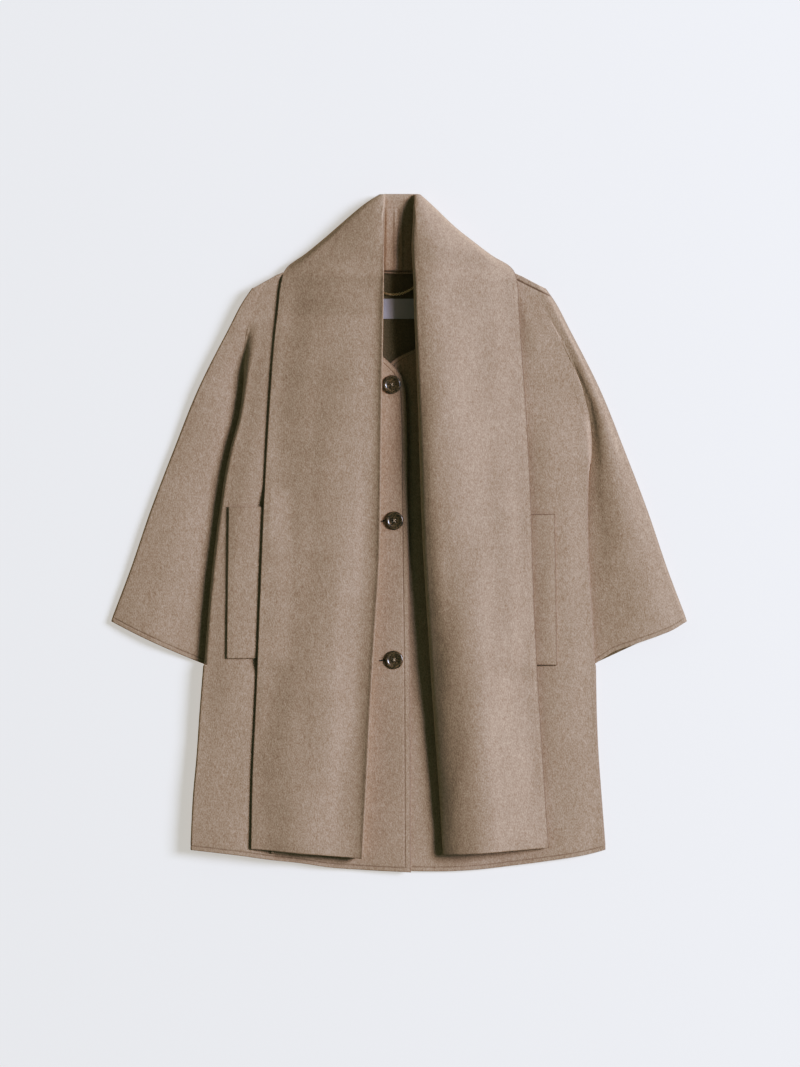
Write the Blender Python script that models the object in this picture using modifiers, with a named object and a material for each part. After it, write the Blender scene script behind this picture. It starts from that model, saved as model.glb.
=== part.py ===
"""Wool cape-coat with a scarf collar, buttoned up and laid flat on its back.

Frame: metres, +Z up, +Y towards the neck, +X towards the wearer's left. The origin is the middle
of the footprint, on the surface that the coat lies on. Tables give places on one side of the coat
as (out, y): out is the distance from the middle line towards that side.
"""

import math
from collections import namedtuple

import bmesh
import bpy

GARMENT = "wool_cape"

# Cloth and how its layers stack
CLOTH = 0.0026            # one layer of double-faced wool
GAP = 0.0004              # between layers that lie on each other
LAYER = CLOTH + GAP
BACK, SLEEVE, UNDERLAY, BODY = range(4)   # layers from the floor up, counted at the arm fold

# Side seams and overarms: the front rolls down to the floor and closes over the back's edge
ROLL = 0.006
ROLL_DROP = 0.0036
BACK_INSET = 0.0085
SLEEVE_LOFT = 0.0032      # how far the middle of a sleeve stands off the back
LOFT_START = 0.003        # it lies flat up to here, beyond the body's edge

# Deep fold along each arm, under the body's edge
FOLD_DEPTH = 0.034        # at the cuff
FOLD_START_Y = 0.275
FOLD_FULL_Y = 0.150
HAIRPIN = LAYER / 2       # radius of the wall's middle where it turns back on itself
FOLD_STRAIGHT = 0.0004    # between the two bends, before the fold deepens
BEND_STEPS = 4

Spot = namedtuple("Spot", "out y")
Side = namedtuple("Side", "name sign front_edge fold side_seam inner_layer")
Stretch = namedtuple("Stretch", "inner_out inner_y outer_out outer_y roll edge slit inset")

OVERARM = [
    Spot(0.201, 0.334), Spot(0.209, 0.317), Spot(0.231, 0.276), Spot(0.272, 0.195),
    Spot(0.305, 0.113), Spot(0.336, 0.032), Spot(0.364, -0.050), Spot(0.3905, -0.120),
]
SHOULDER_TIP = OVERARM[0]
NECK_POINT = Spot(0.086, 0.385)
NECK_BACK_DROP = 0.030
HEM_SAG = 0.005

RIGHT = Side(
    "right", -1,
    [
        NECK_POINT, Spot(0.064, 0.328), Spot(0.038, 0.270), Spot(0.0205, 0.2385), Spot(0.007, 0.2265),
        Spot(-0.0035, 0.214), Spot(-0.009, 0.197), Spot(-0.011, 0.168), Spot(-0.0125, 0.045),
        Spot(-0.0155, -0.230), Spot(-0.0163, -0.4615),
    ],
    [
        Spot(0.168, 0.349), Spot(0.187, 0.300), Spot(0.199, 0.252), Spot(0.208, 0.208),
        Spot(0.218, 0.154), Spot(0.229, 0.113), Spot(0.245, 0.018), Spot(0.256, -0.077),
        Spot(0.264, -0.178),
    ],
    [
        Spot(0.264, -0.178), Spot(0.271, -0.247), Spot(0.275, -0.302), Spot(0.280, -0.356),
        Spot(0.2836, -0.4315),
    ],
    UNDERLAY,
)
LEFT = Side(
    "left", 1,
    [
        NECK_POINT, Spot(0.065, 0.324), Spot(0.042, 0.276), Spot(0.019, 0.249), Spot(0.0075, 0.244),
        Spot(-0.0095, 0.234), Spot(-0.019, 0.2205), Spot(-0.0245, 0.1975), Spot(-0.027, 0.168),
        Spot(-0.0265, -0.4615),
    ],
    [
        Spot(0.168, 0.348), Spot(0.193, 0.300), Spot(0.217, 0.252), Spot(0.238, 0.203),
        Spot(0.2525, 0.154), Spot(0.257, 0.113), Spot(0.2565, 0.045), Spot(0.258, -0.036),
        Spot(0.263, -0.118), Spot(0.266, -0.178),
    ],
    [
        Spot(0.266, -0.178), Spot(0.268, -0.247), Spot(0.271, -0.302), Spot(0.275, -0.356),
        Spot(0.2808, -0.4315),
    ],
    SLEEVE,
)

# Rows of the fronts: the sleeve stretch runs down to the cuff, the skirt stretch to the hem
SLEEVE_ROWS = 26
SKIRT_ROWS = 10
BODY_COLUMNS = 10
FLAT_SHARE = 0.2          # share of a front's width, from its edge, that lies at one height
RISEN_SHARE = 0.8         # from here on out it lies at the height of its outer edge
ARM_COLUMNS = 6
CUFF_INNER_Y = -0.165     # height of the cuff row on the front edge

# Pocket welts, as (out, y) of the upright strip's corners
Welt = namedtuple("Welt", "out_inner out_outer_top out_outer_end y_top y_end")
WELTS = {
    "right": Welt(0.179, 0.2310, 0.2335, 0.0362, -0.1697),
    "left": Welt(0.162, 0.2115, 0.2145, 0.0262, -0.1792),
}
WELT_LIFT = LAYER + 0.0003
WELT_EASE = 0.030         # how fast the scarf climbs on to a welt

# The scarf hangs as a strip folded double: one row of sizes for each place along it.
# roll and edge are the heights of its thick roll and its outer edge above what it lies on,
# slit is how far its two layers part at the outer edge, inset how far the lower one is set back.
SCARF_RIGHT = [
    Stretch(0.0193, 0.4570, 0.0270, 0.4590, 0.017, 0.0150, 0.0008, 0.0003),
    Stretch(0.0194, 0.4423, 0.0503, 0.4436, 0.022, 0.0160, 0.0008, 0.0003),
    Stretch(0.0195, 0.4260, 0.0762, 0.4219, 0.027, 0.0160, 0.0008, 0.0003),
    Stretch(0.0197, 0.4083, 0.1020, 0.3994, 0.031, 0.0150, 0.0008, 0.0003),
    Stretch(0.0200, 0.3879, 0.1278, 0.3784, 0.034, 0.0120, 0.0010, 0.0003),
    Stretch(0.0203, 0.3634, 0.1525, 0.3600, 0.034, 0.0080, 0.0060, 0.0010),
    Stretch(0.0204, 0.3376, 0.1605, 0.3376, 0.033, 0.0060, 0.0200, 0.0020),
    Stretch(0.0208, 0.3036, 0.1646, 0.3036, 0.031, 0.0060, 0.0200, 0.0025),
    Stretch(0.0218, 0.2492, 0.1700, 0.2492, 0.028, 0.0060, 0.0200, 0.0030),
    Stretch(0.0235, 0.1540, 0.1768, 0.1540, 0.025, 0.0060, 0.0200, 0.0030),
    Stretch(0.0245, 0.0588, 0.1822, 0.0588, 0.024, 0.0060, 0.0200, 0.0030),
    Stretch(0.0262, -0.0364, 0.1863, -0.0364, 0.023, 0.0060, 0.0200, 0.0040),
    Stretch(0.0328, -0.1398, 0.1904, -0.1398, 0.023, 0.0060, 0.0220, 0.0060),
    Stretch(0.0381, -0.2268, 0.1940, -0.2268, 0.023, 0.0060, 0.0250, 0.0090),
    Stretch(0.0435, -0.3356, 0.1990, -0.3356, 0.021, 0.0060, 0.0320, 0.0150),
    Stretch(0.0492, -0.4404, 0.2006, -0.4274, 0.018, 0.0060, 0.0380, 0.0240),
]
SCARF_LEFT = [
    Stretch(0.0242, 0.4590, 0.0290, 0.4590, 0.017, 0.0150, 0.0008, 0.0003),
    Stretch(0.0215, 0.4423, 0.0503, 0.4396, 0.022, 0.0160, 0.0008, 0.0003),
    Stretch(0.0199, 0.4260, 0.0762, 0.4151, 0.027, 0.0160, 0.0008, 0.0003),
    Stretch(0.0178, 0.4083, 0.1020, 0.3947, 0.031, 0.0150, 0.0008, 0.0003),
    Stretch(0.0170, 0.3879, 0.1265, 0.3763, 0.034, 0.0120, 0.0010, 0.0003),
    Stretch(0.0181, 0.3634, 0.1523, 0.3600, 0.034, 0.0080, 0.0060, 0.0010),
    Stretch(0.0196, 0.3376, 0.1609, 0.3389, 0.033, 0.0060, 0.0200, 0.0020),
    Stretch(0.0204, 0.3036, 0.1632, 0.3036, 0.031, 0.0060, 0.0200, 0.0025),
    Stretch(0.0226, 0.2492, 0.1667, 0.2492, 0.028, 0.0060, 0.0200, 0.0030),
    Stretch(0.0262, 0.1540, 0.1733, 0.1540, 0.026, 0.0060, 0.0200, 0.0030),
    Stretch(0.0292, 0.0588, 0.1782, 0.0588, 0.025, 0.0060, 0.0200, 0.0030),
    Stretch(0.0332, -0.0364, 0.1810, -0.0364, 0.025, 0.0060, 0.0200, 0.0030),
    Stretch(0.0398, -0.1398, 0.1850, -0.1398, 0.025, 0.0060, 0.0200, 0.0030),
    Stretch(0.0454, -0.2268, 0.1901, -0.2268, 0.025, 0.0060, 0.0200, 0.0030),
    Stretch(0.0534, -0.3356, 0.1972, -0.3356, 0.023, 0.0060, 0.0220, 0.0030),
    Stretch(0.0594, -0.4360, 0.2033, -0.4268, 0.020, 0.0060, 0.0220, 0.0030),
]
SCARF_SECTIONS = 30
ROLL_AT = 0.37            # where across the strip, from its inner fold, the roll is highest
NOSE_HEIGHT = 0.004       # height of the fold's innermost line above what it lies on
NOSE_TUCK = 0.02          # the underside starts this far in, as a share of the width
ACROSS_TOP = [0.0, 0.025, 0.07, 0.14, 0.24, 0.37, 0.50, 0.63, 0.76, 0.87, 0.95, 1.0]
ACROSS_UNDER = [0.84, 0.66, 0.45, 0.24]
SLIT = 0.0008             # gap between the two layers at the outer edge
SCARF_CLEAR = 0.0008      # between the scarf and what it lies on
MOUTH_DEPTH = 0.022       # the open end of the folded strip
MOUTH_REACH = 0.006

# Collar behind the neck
COLLAR_TOP_Y = 0.4605
COLLAR_HALF_TOP = 0.0205   # half the outer leaf's straight top edge
COLLAR_TOP_RIGHT = 0.0175  # reach of the rolled inner leaf at its top, on either side
COLLAR_TOP_LEFT = 0.0215
COLLAR_WAIST = Spot(0.0158, 0.408)
COLLAR_TIP_OUT = 0.150
FOLD_TOP = 0.0205
FOLD_DEEP = 0.017         # how far below its top edge the roll is at full height
FOLD_STEPS = 6
FIRST_TURN = 0.15         # the roll meets the floor leaf just short of a full quarter turn
FOLD_OVERHANG = 0.016     # how far the inner leaf stands out over the hollow below it
FOLD_END_Y = 0.3565
SEAM = 0.0003

# Buttons, top to bottom, as (x, y); label and chain at the back of the neck
BUTTONS = [(-0.0098, 0.2016), (-0.0065, 0.0171), (-0.0069, -0.1718)]
BUTTON_RADIUS = 0.0125
BUTTON_HEIGHT = 0.0042
BUTTON_STEPS = 24
HOLE_RADIUS = 0.0011
HOLE_SPREAD = 0.0026
LABEL_SIZE = (0.069, 0.0275, 0.0008)
LABEL_Y = 0.305
CHAIN_RADIUS = 0.0010
CHAIN_HALF = 0.0385
CHAIN_MIDDLE = (-0.0073, 0.3242)
CHAIN_RISE = 0.0190
CHAIN_POINTS = 19

Finish = namedtuple("Finish", "colour roughness metallic")
WOOL = Finish((0.265, 0.205, 0.165, 1.0), 0.92, 0.0)
HORN = Finish((0.045, 0.024, 0.016, 1.0), 0.25, 0.0)
SATIN = Finish((0.50, 0.49, 0.54, 1.0), 0.60, 0.0)
BRASS = Finish((0.62, 0.45, 0.18, 1.0), 0.30, 1.0)


# ---------------------------------------------------------------- sizes read from the tables

def level(layer):
    """Height of the middle of a layer's wall, with the layers lying on each other."""
    return CLOTH / 2 + layer * LAYER


def lerp(a, b, t):
    return a + (b - a) * t


def ease(t):
    t = min(1.0, max(0.0, t))
    return t * t * (3 - 2 * t)


def hermite(places, values, at):
    """A smooth curve through values given at rising places."""
    last = len(places) - 1
    at = min(max(at, places[0]), places[last])
    i = max(k for k in range(last) if places[k] <= at)
    step = places[i + 1] - places[i]

    def slope(k):
        if k in (0, last):
            near = 0 if k == 0 else last - 1
            return (values[near + 1] - values[near]) / (places[near + 1] - places[near])
        before, after = places[k] - places[k - 1], places[k + 1] - places[k]
        rise_before = (values[k] - values[k - 1]) / before
        rise_after = (values[k + 1] - values[k]) / after
        return (rise_before * after + rise_after * before) / (before + after)

    t = (at - places[i]) / step
    keep = (1 + 2 * t) * (1 - t) ** 2 * values[i] + t * t * (3 - 2 * t) * values[i + 1]
    turn = t * (1 - t) ** 2 * slope(i) - t * t * (1 - t) * slope(i + 1)
    return keep + turn * step


def out_at(spots, y):
    """How far out a line of spots, listed from the neck down, lies at height y."""
    return hermite([-spot.y for spot in spots], [spot.out for spot in spots], -y)


def stretch_at(rows, along):
    """Scarf sizes at a share of the way along it."""
    places = [k / (len(rows) - 1) for k in range(len(rows))]
    return Stretch(*(hermite(places, column, along) for column in zip(*rows)))


def fold_bend(y):
    """How far each of the arm fold's two bends turns the wall, and its radius.

    The bends keep one length until the wall stands upright between them, and then close to two
    hairpins, with the cloth in three flat layers.
    """
    share = (FOLD_START_Y - y) / (FOLD_START_Y - FOLD_FULL_Y)
    turn = math.pi * min(1.0, max(0.001, share))
    return turn, min(math.pi * HAIRPIN / turn, LAYER / (1 - math.cos(turn)))


def fold_drop(y):
    """How far the body's edge lies above the sleeve."""
    turn, radius = fold_bend(y)
    return 2 * radius * (1 - math.cos(turn)) + FOLD_STRAIGHT * math.sin(turn)


# ---------------------------------------------------------------- the fronts' surface

def row_line(side, v):
    """Both ends of row v of a front's body: 0 at the shoulder, 1 at the cuff, 2 at the hem."""
    top, hem = side.front_edge[0].y, side.front_edge[-1].y
    cuff_y = side.fold[-1].y
    if v <= 1:
        y_in = lerp(top, CUFF_INNER_Y, v)
        y_out = lerp(side.fold[0].y, cuff_y, v)
        return out_at(side.front_edge, y_in), y_in, out_at(side.fold, y_out), y_out
    y_in = lerp(CUFF_INNER_Y, hem, v - 1)
    y_out = lerp(cuff_y, side.side_seam[-1].y, v - 1)
    return out_at(side.front_edge, y_in), y_in, out_at(side.side_seam, y_out), y_out


def edge_height(side, v):
    """Height of the front's wall where it meets the arm fold or the side seam."""
    _, _, _, y_out = row_line(side, v)
    if v <= 1:
        return level(SLEEVE) + fold_drop(y_out)
    return lerp(level(BODY), level(SLEEVE) + 0.0015, ease((v - 1) / 0.45))


def inner_height(side, v):
    return lerp(level(SLEEVE), level(side.inner_layer), ease(v / 0.25))


def front_spot(side, v, u):
    """A place on a front's body: u runs from the front edge (0) to the fold or side seam (1)."""
    out_in, y_in, out_out, y_out = row_line(side, v)
    hem_sag = HEM_SAG * 4 * u * (1 - u) * ease(v - 1)
    rise = ease((u - FLAT_SHARE) / (RISEN_SHARE - FLAT_SHARE))
    height = lerp(inner_height(side, v), edge_height(side, v), rise)
    return lerp(out_in, out_out, u), lerp(y_in, y_out, u) - hem_sag, height


def front_height(side, out, y):
    """Height of a front's wall at a place, found by closing in on its row and column."""
    u = 0.5
    v = 1.0
    for _ in range(5):
        low, high = 0.0, 2.0
        for _ in range(22):
            v = (low + high) / 2
            if front_spot(side, v, u)[1] > y:
                low = v
            else:
                high = v
        out_in, _, out_out, _ = row_line(side, v)
        u = min(1.0, max(0.0, (out - out_in) / (out_out - out_in)))
    return front_spot(side, v, u)[2]


def welt_lift(side, out, y):
    """How far a welt raises what lies over it, easing off well outside its ends and inner edge."""
    welt = WELTS[side.name]
    across = ease((out - welt.out_inner) / WELT_EASE + 2)
    above = ease((welt.y_top - y) / WELT_EASE + 2)
    below = ease((y - welt.y_end) / WELT_EASE + 2)
    return WELT_LIFT * across * above * below


def seat_height(side, out, y):
    """Height of the top of what the scarf lies on."""
    return front_height(side, out, y) + CLOTH / 2 + welt_lift(side, out, y)


# ---------------------------------------------------------------- making objects

def clear_scene():
    for item in list(bpy.data.objects):
        bpy.data.objects.remove(item)


def collection(name):
    made = bpy.data.collections.new(name)
    bpy.context.scene.collection.children.link(made)
    return made


def material(name, finish):
    made = bpy.data.materials.new(name)
    made.use_nodes = True
    shader = made.node_tree.nodes["Principled BSDF"]
    shader.inputs["Base Color"].default_value = finish.colour
    shader.inputs["Roughness"].default_value = finish.roughness
    shader.inputs["Metallic"].default_value = finish.metallic
    return made


def add_object(name, data, group, finish):
    made = bpy.data.objects.new(name, data)
    group.objects.link(made)
    data.materials.append(material(name, finish))
    return made


def mesh_from(name, points, faces):
    shape = bmesh.new()
    corners = [shape.verts.new(point) for point in points]
    for face in faces:
        shape.faces.new([corners[k] for k in face])
    bmesh.ops.recalc_face_normals(shape, faces=shape.faces)
    if shape.calc_volume(signed=True) < 0:
        bmesh.ops.reverse_faces(shape, faces=shape.faces)
    mesh = bpy.data.meshes.new(name)
    shape.to_mesh(mesh)
    shape.free()
    mesh.shade_smooth()
    return mesh


def wall(name, rows, group, finish):
    """A cloth wall through rows of points; where a row is shorter, the wall ends there."""
    starts = [sum(len(row) for row in rows[:k]) for k in range(len(rows))]
    faces = [
        (starts[r] + c, starts[r] + c + 1, starts[r + 1] + c + 1, starts[r + 1] + c)
        for r in range(len(rows) - 1)
        for c in range(min(len(rows[r]), len(rows[r + 1])) - 1)
    ]
    made = add_object(name, mesh_from(name, [p for row in rows for p in row], faces), group, finish)
    thickness = made.modifiers.new("cloth", "SOLIDIFY")
    thickness.thickness = CLOTH
    thickness.offset = 0.0
    return made


def loft(name, rings):
    """A closed mesh through rings of equally many points, capped at both ends."""
    count = len(rings[0])
    faces = [
        (r * count + k, r * count + (k + 1) % count,
         (r + 1) * count + (k + 1) % count, (r + 1) * count + k)
        for r in range(len(rings) - 1)
        for k in range(count)
    ]
    faces.append(tuple(range(count)))
    faces.append(tuple((len(rings) - 1) * count + k for k in range(count)))
    return mesh_from(name, [p for ring in rings for p in ring], faces)


def plate(name, outline, bottom, top, group, finish):
    """A flat piece with an upright edge."""
    curve = bpy.data.curves.new(name, "CURVE")
    curve.dimensions = "2D"
    curve.fill_mode = "BOTH"
    curve.extrude = (top - bottom) / 2
    spline = curve.splines.new("POLY")
    spline.points.add(len(outline) - 1)
    for point, (x, y) in zip(spline.points, outline):
        point.co = (x, y, 0.0, 1.0)
    spline.use_cyclic_u = True
    made = add_object(name, curve, group, finish)
    made.location.z = (top + bottom) / 2
    return made


# ---------------------------------------------------------------- back

def neck_seam(x):
    """Height of the back's neckline and shoulders at x, where the collar is sewn on."""
    out = abs(x)
    if out < NECK_POINT.out:
        return NECK_POINT.y - NECK_BACK_DROP * math.sqrt(max(0.0, 1 - (out / NECK_POINT.out) ** 2))
    share = (out - NECK_POINT.out) / (SHOULDER_TIP.out - NECK_POINT.out)
    return lerp(NECK_POINT.y, SHOULDER_TIP.y, share)


def seam_places():
    """Where along x the neck seam turns, from the wearer's right end of the collar to the left."""
    steps = 14
    return [COLLAR_TIP_OUT * math.sin(math.pi / 2 * k / steps) for k in range(-steps, steps + 1)]


def back_half(side):
    """One half of the back's outline, from the shoulder tip round to the hem, as (out, y)."""
    cuff_y = OVERARM[-1].y
    steps = 12
    arm = [lerp(SHOULDER_TIP.y - 0.004, cuff_y, k / steps) for k in range(steps + 1)]
    spots = [(out_at(OVERARM, y) - BACK_INSET, y) for y in arm]
    seam = side.side_seam
    drop = [lerp(seam[0].y, seam[-1].y, k / 8) for k in range(9)]
    spots += [(out_at(seam, y) - BACK_INSET, y) for y in drop]
    return spots


def make_back(group):
    right, left = back_half(RIGHT), back_half(LEFT)
    shoulder = SHOULDER_TIP.out - BACK_INSET
    neck = [-shoulder] + seam_places() + [shoulder]
    outline = [(x, neck_seam(x) - SEAM) for x in reversed(neck)]
    outline += [(-out, y) for out, y in right]
    hem_steps = 12
    hem_in, hem_out = RIGHT.front_edge[-1].y, RIGHT.side_seam[-1].y
    for k in range(1, hem_steps):
        x = lerp(-right[-1][0], left[-1][0], k / hem_steps)
        reach = abs(x) / right[-1][0]
        outline.append((x, lerp(hem_in, hem_out, reach) - HEM_SAG * 4 * reach * (1 - reach) + 0.0015))
    outline += [(out, y) for out, y in reversed(left)]
    plate("back", outline, 0.0, CLOTH, group, WOOL)


# ---------------------------------------------------------------- fronts

def fold_section(y):
    """The arm fold as (distance from the body's edge, height): bend, straight stretch, bend."""
    turn, radius = fold_bend(y)
    depth = FOLD_DEPTH * ease((FOLD_FULL_Y - y) / (FOLD_FULL_Y - RIGHT.fold[-1].y))
    straight = FOLD_STRAIGHT + depth
    s, z = -(CLOTH / 2 + HAIRPIN), level(SLEEVE) + fold_drop(y)
    section = []
    for k in range(BEND_STEPS + 1):
        a = turn * k / BEND_STEPS
        section.append((s + radius * math.sin(a), z - radius * (1 - math.cos(a))))
    s, z = section[-1]
    s += straight * math.cos(turn)
    z -= straight * math.sin(turn)
    for k in range(BEND_STEPS + 1):
        a = turn * (1 - k / BEND_STEPS)
        along = math.sin(turn) - math.sin(a)
        down = math.cos(a) - math.cos(turn)
        section.append((s + radius * along, z - radius * down))
    return section


def roll_off(share):
    """Drop of the wall over the last stretch before a closed edge."""
    return ROLL_DROP * (1 - math.sqrt(max(0.0, 1 - share * share)))


EDGE_SHARES = [0.0, 0.62, 0.93, 1.0]


def body_row(side, v):
    """Points of a front's body, from the front edge to the arm fold or side seam."""
    out_in, y_in, out_out, y_out = row_line(side, v)
    length = math.hypot(out_out - out_in, y_out - y_in)
    rim = CLOTH / 2 if v > 1 else CLOTH / 2 + LAYER / 2
    last = 1 - (ROLL + rim) / length
    spots = [front_spot(side, v, last * k / BODY_COLUMNS) for k in range(BODY_COLUMNS + 1)]
    closing = ease((v - 1) / 0.35)
    for share in EDGE_SHARES[1:]:
        out, y, z = front_spot(side, v, 1 - (ROLL * (1 - share) + rim) / length)
        spots.append((out, y, z - roll_off(share) * closing))
    return spots


def arm_row(side, v):
    """Points of the arm fold and the sleeve on the same row, out to the overarm."""
    _, _, fold_out, fold_y = row_line(side, v)
    arm_y = lerp(OVERARM[0].y, OVERARM[-1].y, v)
    arm_out = out_at(OVERARM, arm_y)
    reach = math.hypot(arm_out - fold_out, arm_y - fold_y)
    toward = ((arm_out - fold_out) / reach, (arm_y - fold_y) / reach)
    section = fold_section(fold_y)[1:]
    begin, end = max(LOFT_START, section[-1][0] + CLOTH), reach - CLOTH / 2 - ROLL
    loft_here = SLEEVE_LOFT * ease((reach - 0.02) / 0.10)
    for k in range(ARM_COLUMNS + 1):
        share = k / ARM_COLUMNS
        section.append((lerp(begin, end, share), level(SLEEVE) + loft_here * math.sin(math.pi * share) ** 2))
    for share in EDGE_SHARES[1:]:
        section.append((end + ROLL * share, level(SLEEVE) - roll_off(share)))
    return [(fold_out + toward[0] * s, fold_y + toward[1] * s, z) for s, z in section]


def make_front(side, group):
    rows = []
    for r in range(SLEEVE_ROWS + 1):
        v = r / SLEEVE_ROWS
        rows.append(body_row(side, v) + arm_row(side, v))
    rows += [body_row(side, 1 + r / SKIRT_ROWS) for r in range(1, SKIRT_ROWS + 1)]
    placed = [[(side.sign * out, y, z) for out, y, z in row] for row in rows]
    wall(f"front_{side.name}", placed, group, WOOL)


def make_welt(side, group):
    """An upright strip on the front: the front's own surface under it, moved out."""
    welt = WELTS[side.name]
    down, across = 8, 3
    rows = []
    for r in range(down + 1):
        y = lerp(welt.y_top, welt.y_end, r / down)
        outer = lerp(welt.out_outer_top, welt.out_outer_end, r / down)
        row = []
        for c in range(across + 1):
            out = lerp(welt.out_inner, outer, c / across)
            row.append((side.sign * out, y, front_height(side, out, y) + LAYER + 0.0002))
        rows.append(row)
    wall(f"pocket_welt_{side.name}", rows, group, WOOL)


# ---------------------------------------------------------------- scarf collar

def roll_height(sizes, t):
    """Height of the folded strip's upper layer above what it lies on."""
    if t < ROLL_AT:
        return NOSE_HEIGHT + (sizes.roll - NOSE_HEIGHT) * math.sqrt(max(0.0, 1 - (1 - t / ROLL_AT) ** 2))
    share = (t - ROLL_AT) / (1 - ROLL_AT)
    return sizes.edge + (sizes.roll - sizes.edge) * (0.5 + 0.5 * math.cos(math.pi * share ** 0.9))


def scarf_place(side, sizes, t, height):
    """A point of the scarf's section: t across it, height above what it lies on there."""
    out = lerp(sizes.inner_out, sizes.outer_out, t)
    y = lerp(sizes.inner_y, sizes.outer_y, t)
    over_shoulder = ease((neck_seam(out) + 0.016 - y) / 0.014) if t > 0.9 else 1.0
    seat = lerp(CLOTH + GAP, seat_height(side, out, y) + SCARF_CLEAR, over_shoulder)
    return side.sign * out, y, seat + height


def scarf_ring(side, sizes):
    width = math.hypot(sizes.outer_out - sizes.inner_out, sizes.outer_y - sizes.inner_y)
    slit_at, lower_at = 1 - sizes.slit / width, 1 - sizes.inset / width
    under = sizes.edge - CLOTH
    ring = [(t, roll_height(sizes, t)) for t in ACROSS_TOP]
    ring += [(1.0, under), (slit_at, under), (slit_at, under - SLIT), (lower_at, under - SLIT)]
    ring += [(lower_at, 0.0)] + [(t * lower_at, 0.0) for t in ACROSS_UNDER] + [(NOSE_TUCK, 0.0)]
    return [scarf_place(side, sizes, t, height) for t, height in ring]


def mouth_ring(side, sizes, shift):
    """The hollow between the two layers at the strip's open end."""
    top = [(t, roll_height(sizes, t) - CLOTH * 1.15) for t in (0.06, 0.14, 0.24, 0.37, 0.50, 0.63, 0.72)]
    low = [(t, CLOTH) for t in (0.72, 0.50, 0.24, 0.06)]
    placed = [scarf_place(side, sizes, t, height) for t, height in top + low]
    return [(x, y + shift, z) for x, y, z in placed]


def make_scarf(side, rows, group, cutters):
    rings = [scarf_ring(side, stretch_at(rows, k / SCARF_SECTIONS)) for k in range(SCARF_SECTIONS + 1)]
    name = f"scarf_{side.name}"
    scarf = add_object(name, loft(name, rings), group, WOOL)
    end = rows[-1]
    mouth = loft(f"{name}_mouth", [mouth_ring(side, end, MOUTH_DEPTH), mouth_ring(side, end, -MOUTH_REACH)])
    cutter = bpy.data.objects.new(f"{name}_mouth", mouth)
    cutters.objects.link(cutter)
    cutter.hide_render = True
    cutter.display_type = "WIRE"
    cut = scarf.modifiers.new("open end", "BOOLEAN")
    cut.object = cutter
    cut.operation = "DIFFERENCE"


def make_collar_back(group):
    """Outer leaf of the collar behind the neck, lying on the floor and sewn to the neckline."""
    right = [Spot(r.outer_out, r.outer_y) for r in SCARF_RIGHT[:6]]
    left = [Spot(r.outer_out, r.outer_y) for r in SCARF_LEFT[:6]]
    outline = [(-spot.out, spot.y) for spot in reversed(right)]
    outline += [(sign * COLLAR_HALF_TOP, COLLAR_TOP_Y - 0.001) for sign in (-1, 1)]
    outline += [(spot.out, spot.y) for spot in left]
    outline += [(x, neck_seam(x) + SEAM) for x in reversed(seam_places())]
    plate("collar_back", outline, 0.0, CLOTH, group, WOOL)


def make_collar_fold(group):
    """Inner leaf rolled over at the top of the neck, standing out over the hollow below it."""
    floor = CLOTH + GAP
    leaf_under = FOLD_TOP - 0.002 - CLOTH
    hollow_y = FOLD_END_Y + FOLD_OVERHANG
    rings = []
    for k in range(FOLD_STEPS + 1):
        turn = math.pi / 2 * lerp(FIRST_TURN, 1.0, k / FOLD_STEPS)
        y = COLLAR_TOP_Y - FOLD_DEEP * (1 - math.cos(turn))
        rings.append(fold_ring(y, floor, y, floor + (FOLD_TOP - floor) * math.sin(turn)))
    rings.append(fold_ring(COLLAR_WAIST.y, floor, COLLAR_WAIST.y, FOLD_TOP - 0.0005))
    rings.append(fold_ring(hollow_y, floor, hollow_y, FOLD_TOP - 0.0012))
    rings.append(fold_ring(hollow_y, leaf_under, hollow_y - 0.001, FOLD_TOP - 0.0012))
    rings.append(fold_ring(FOLD_END_Y, leaf_under, FOLD_END_Y, FOLD_TOP - 0.002))
    add_object("collar_fold", loft("collar_fold", rings), group, WOOL)


def fold_ring(y_low, z_low, y_high, z_high):
    """Section across the neck between the two scarf folds: narrowest at the waist, flared above it."""
    def half(top, y):
        flare = max(0.0, (y - COLLAR_WAIST.y) / (COLLAR_TOP_Y - COLLAR_WAIST.y))
        return lerp(COLLAR_WAIST.out, top, flare)
    low, high = [], []
    for k in range(5):
        share = k / 4
        x_low = lerp(-half(COLLAR_TOP_RIGHT, y_low), half(COLLAR_TOP_LEFT, y_low), share)
        x_high = lerp(-half(COLLAR_TOP_RIGHT, y_high), half(COLLAR_TOP_LEFT, y_high), share)
        low.append((x_low, y_low, z_low))
        high.append((x_high, y_high, z_high))
    return low + high[::-1]


# ---------------------------------------------------------------- buttons, label and chain

def button_profile():
    """Half section of a button, from the middle of its face down to the middle of its back."""
    rim, height = BUTTON_RADIUS, BUTTON_HEIGHT
    return [
        (0.0, height * 0.60), (rim * 0.60, height * 0.62), (rim * 0.74, height * 0.95),
        (rim * 0.86, height), (rim * 0.97, height * 0.72), (rim, height * 0.45),
        (rim * 0.90, height * 0.12), (rim * 0.70, 0.0), (0.0, 0.0),
    ]


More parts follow.
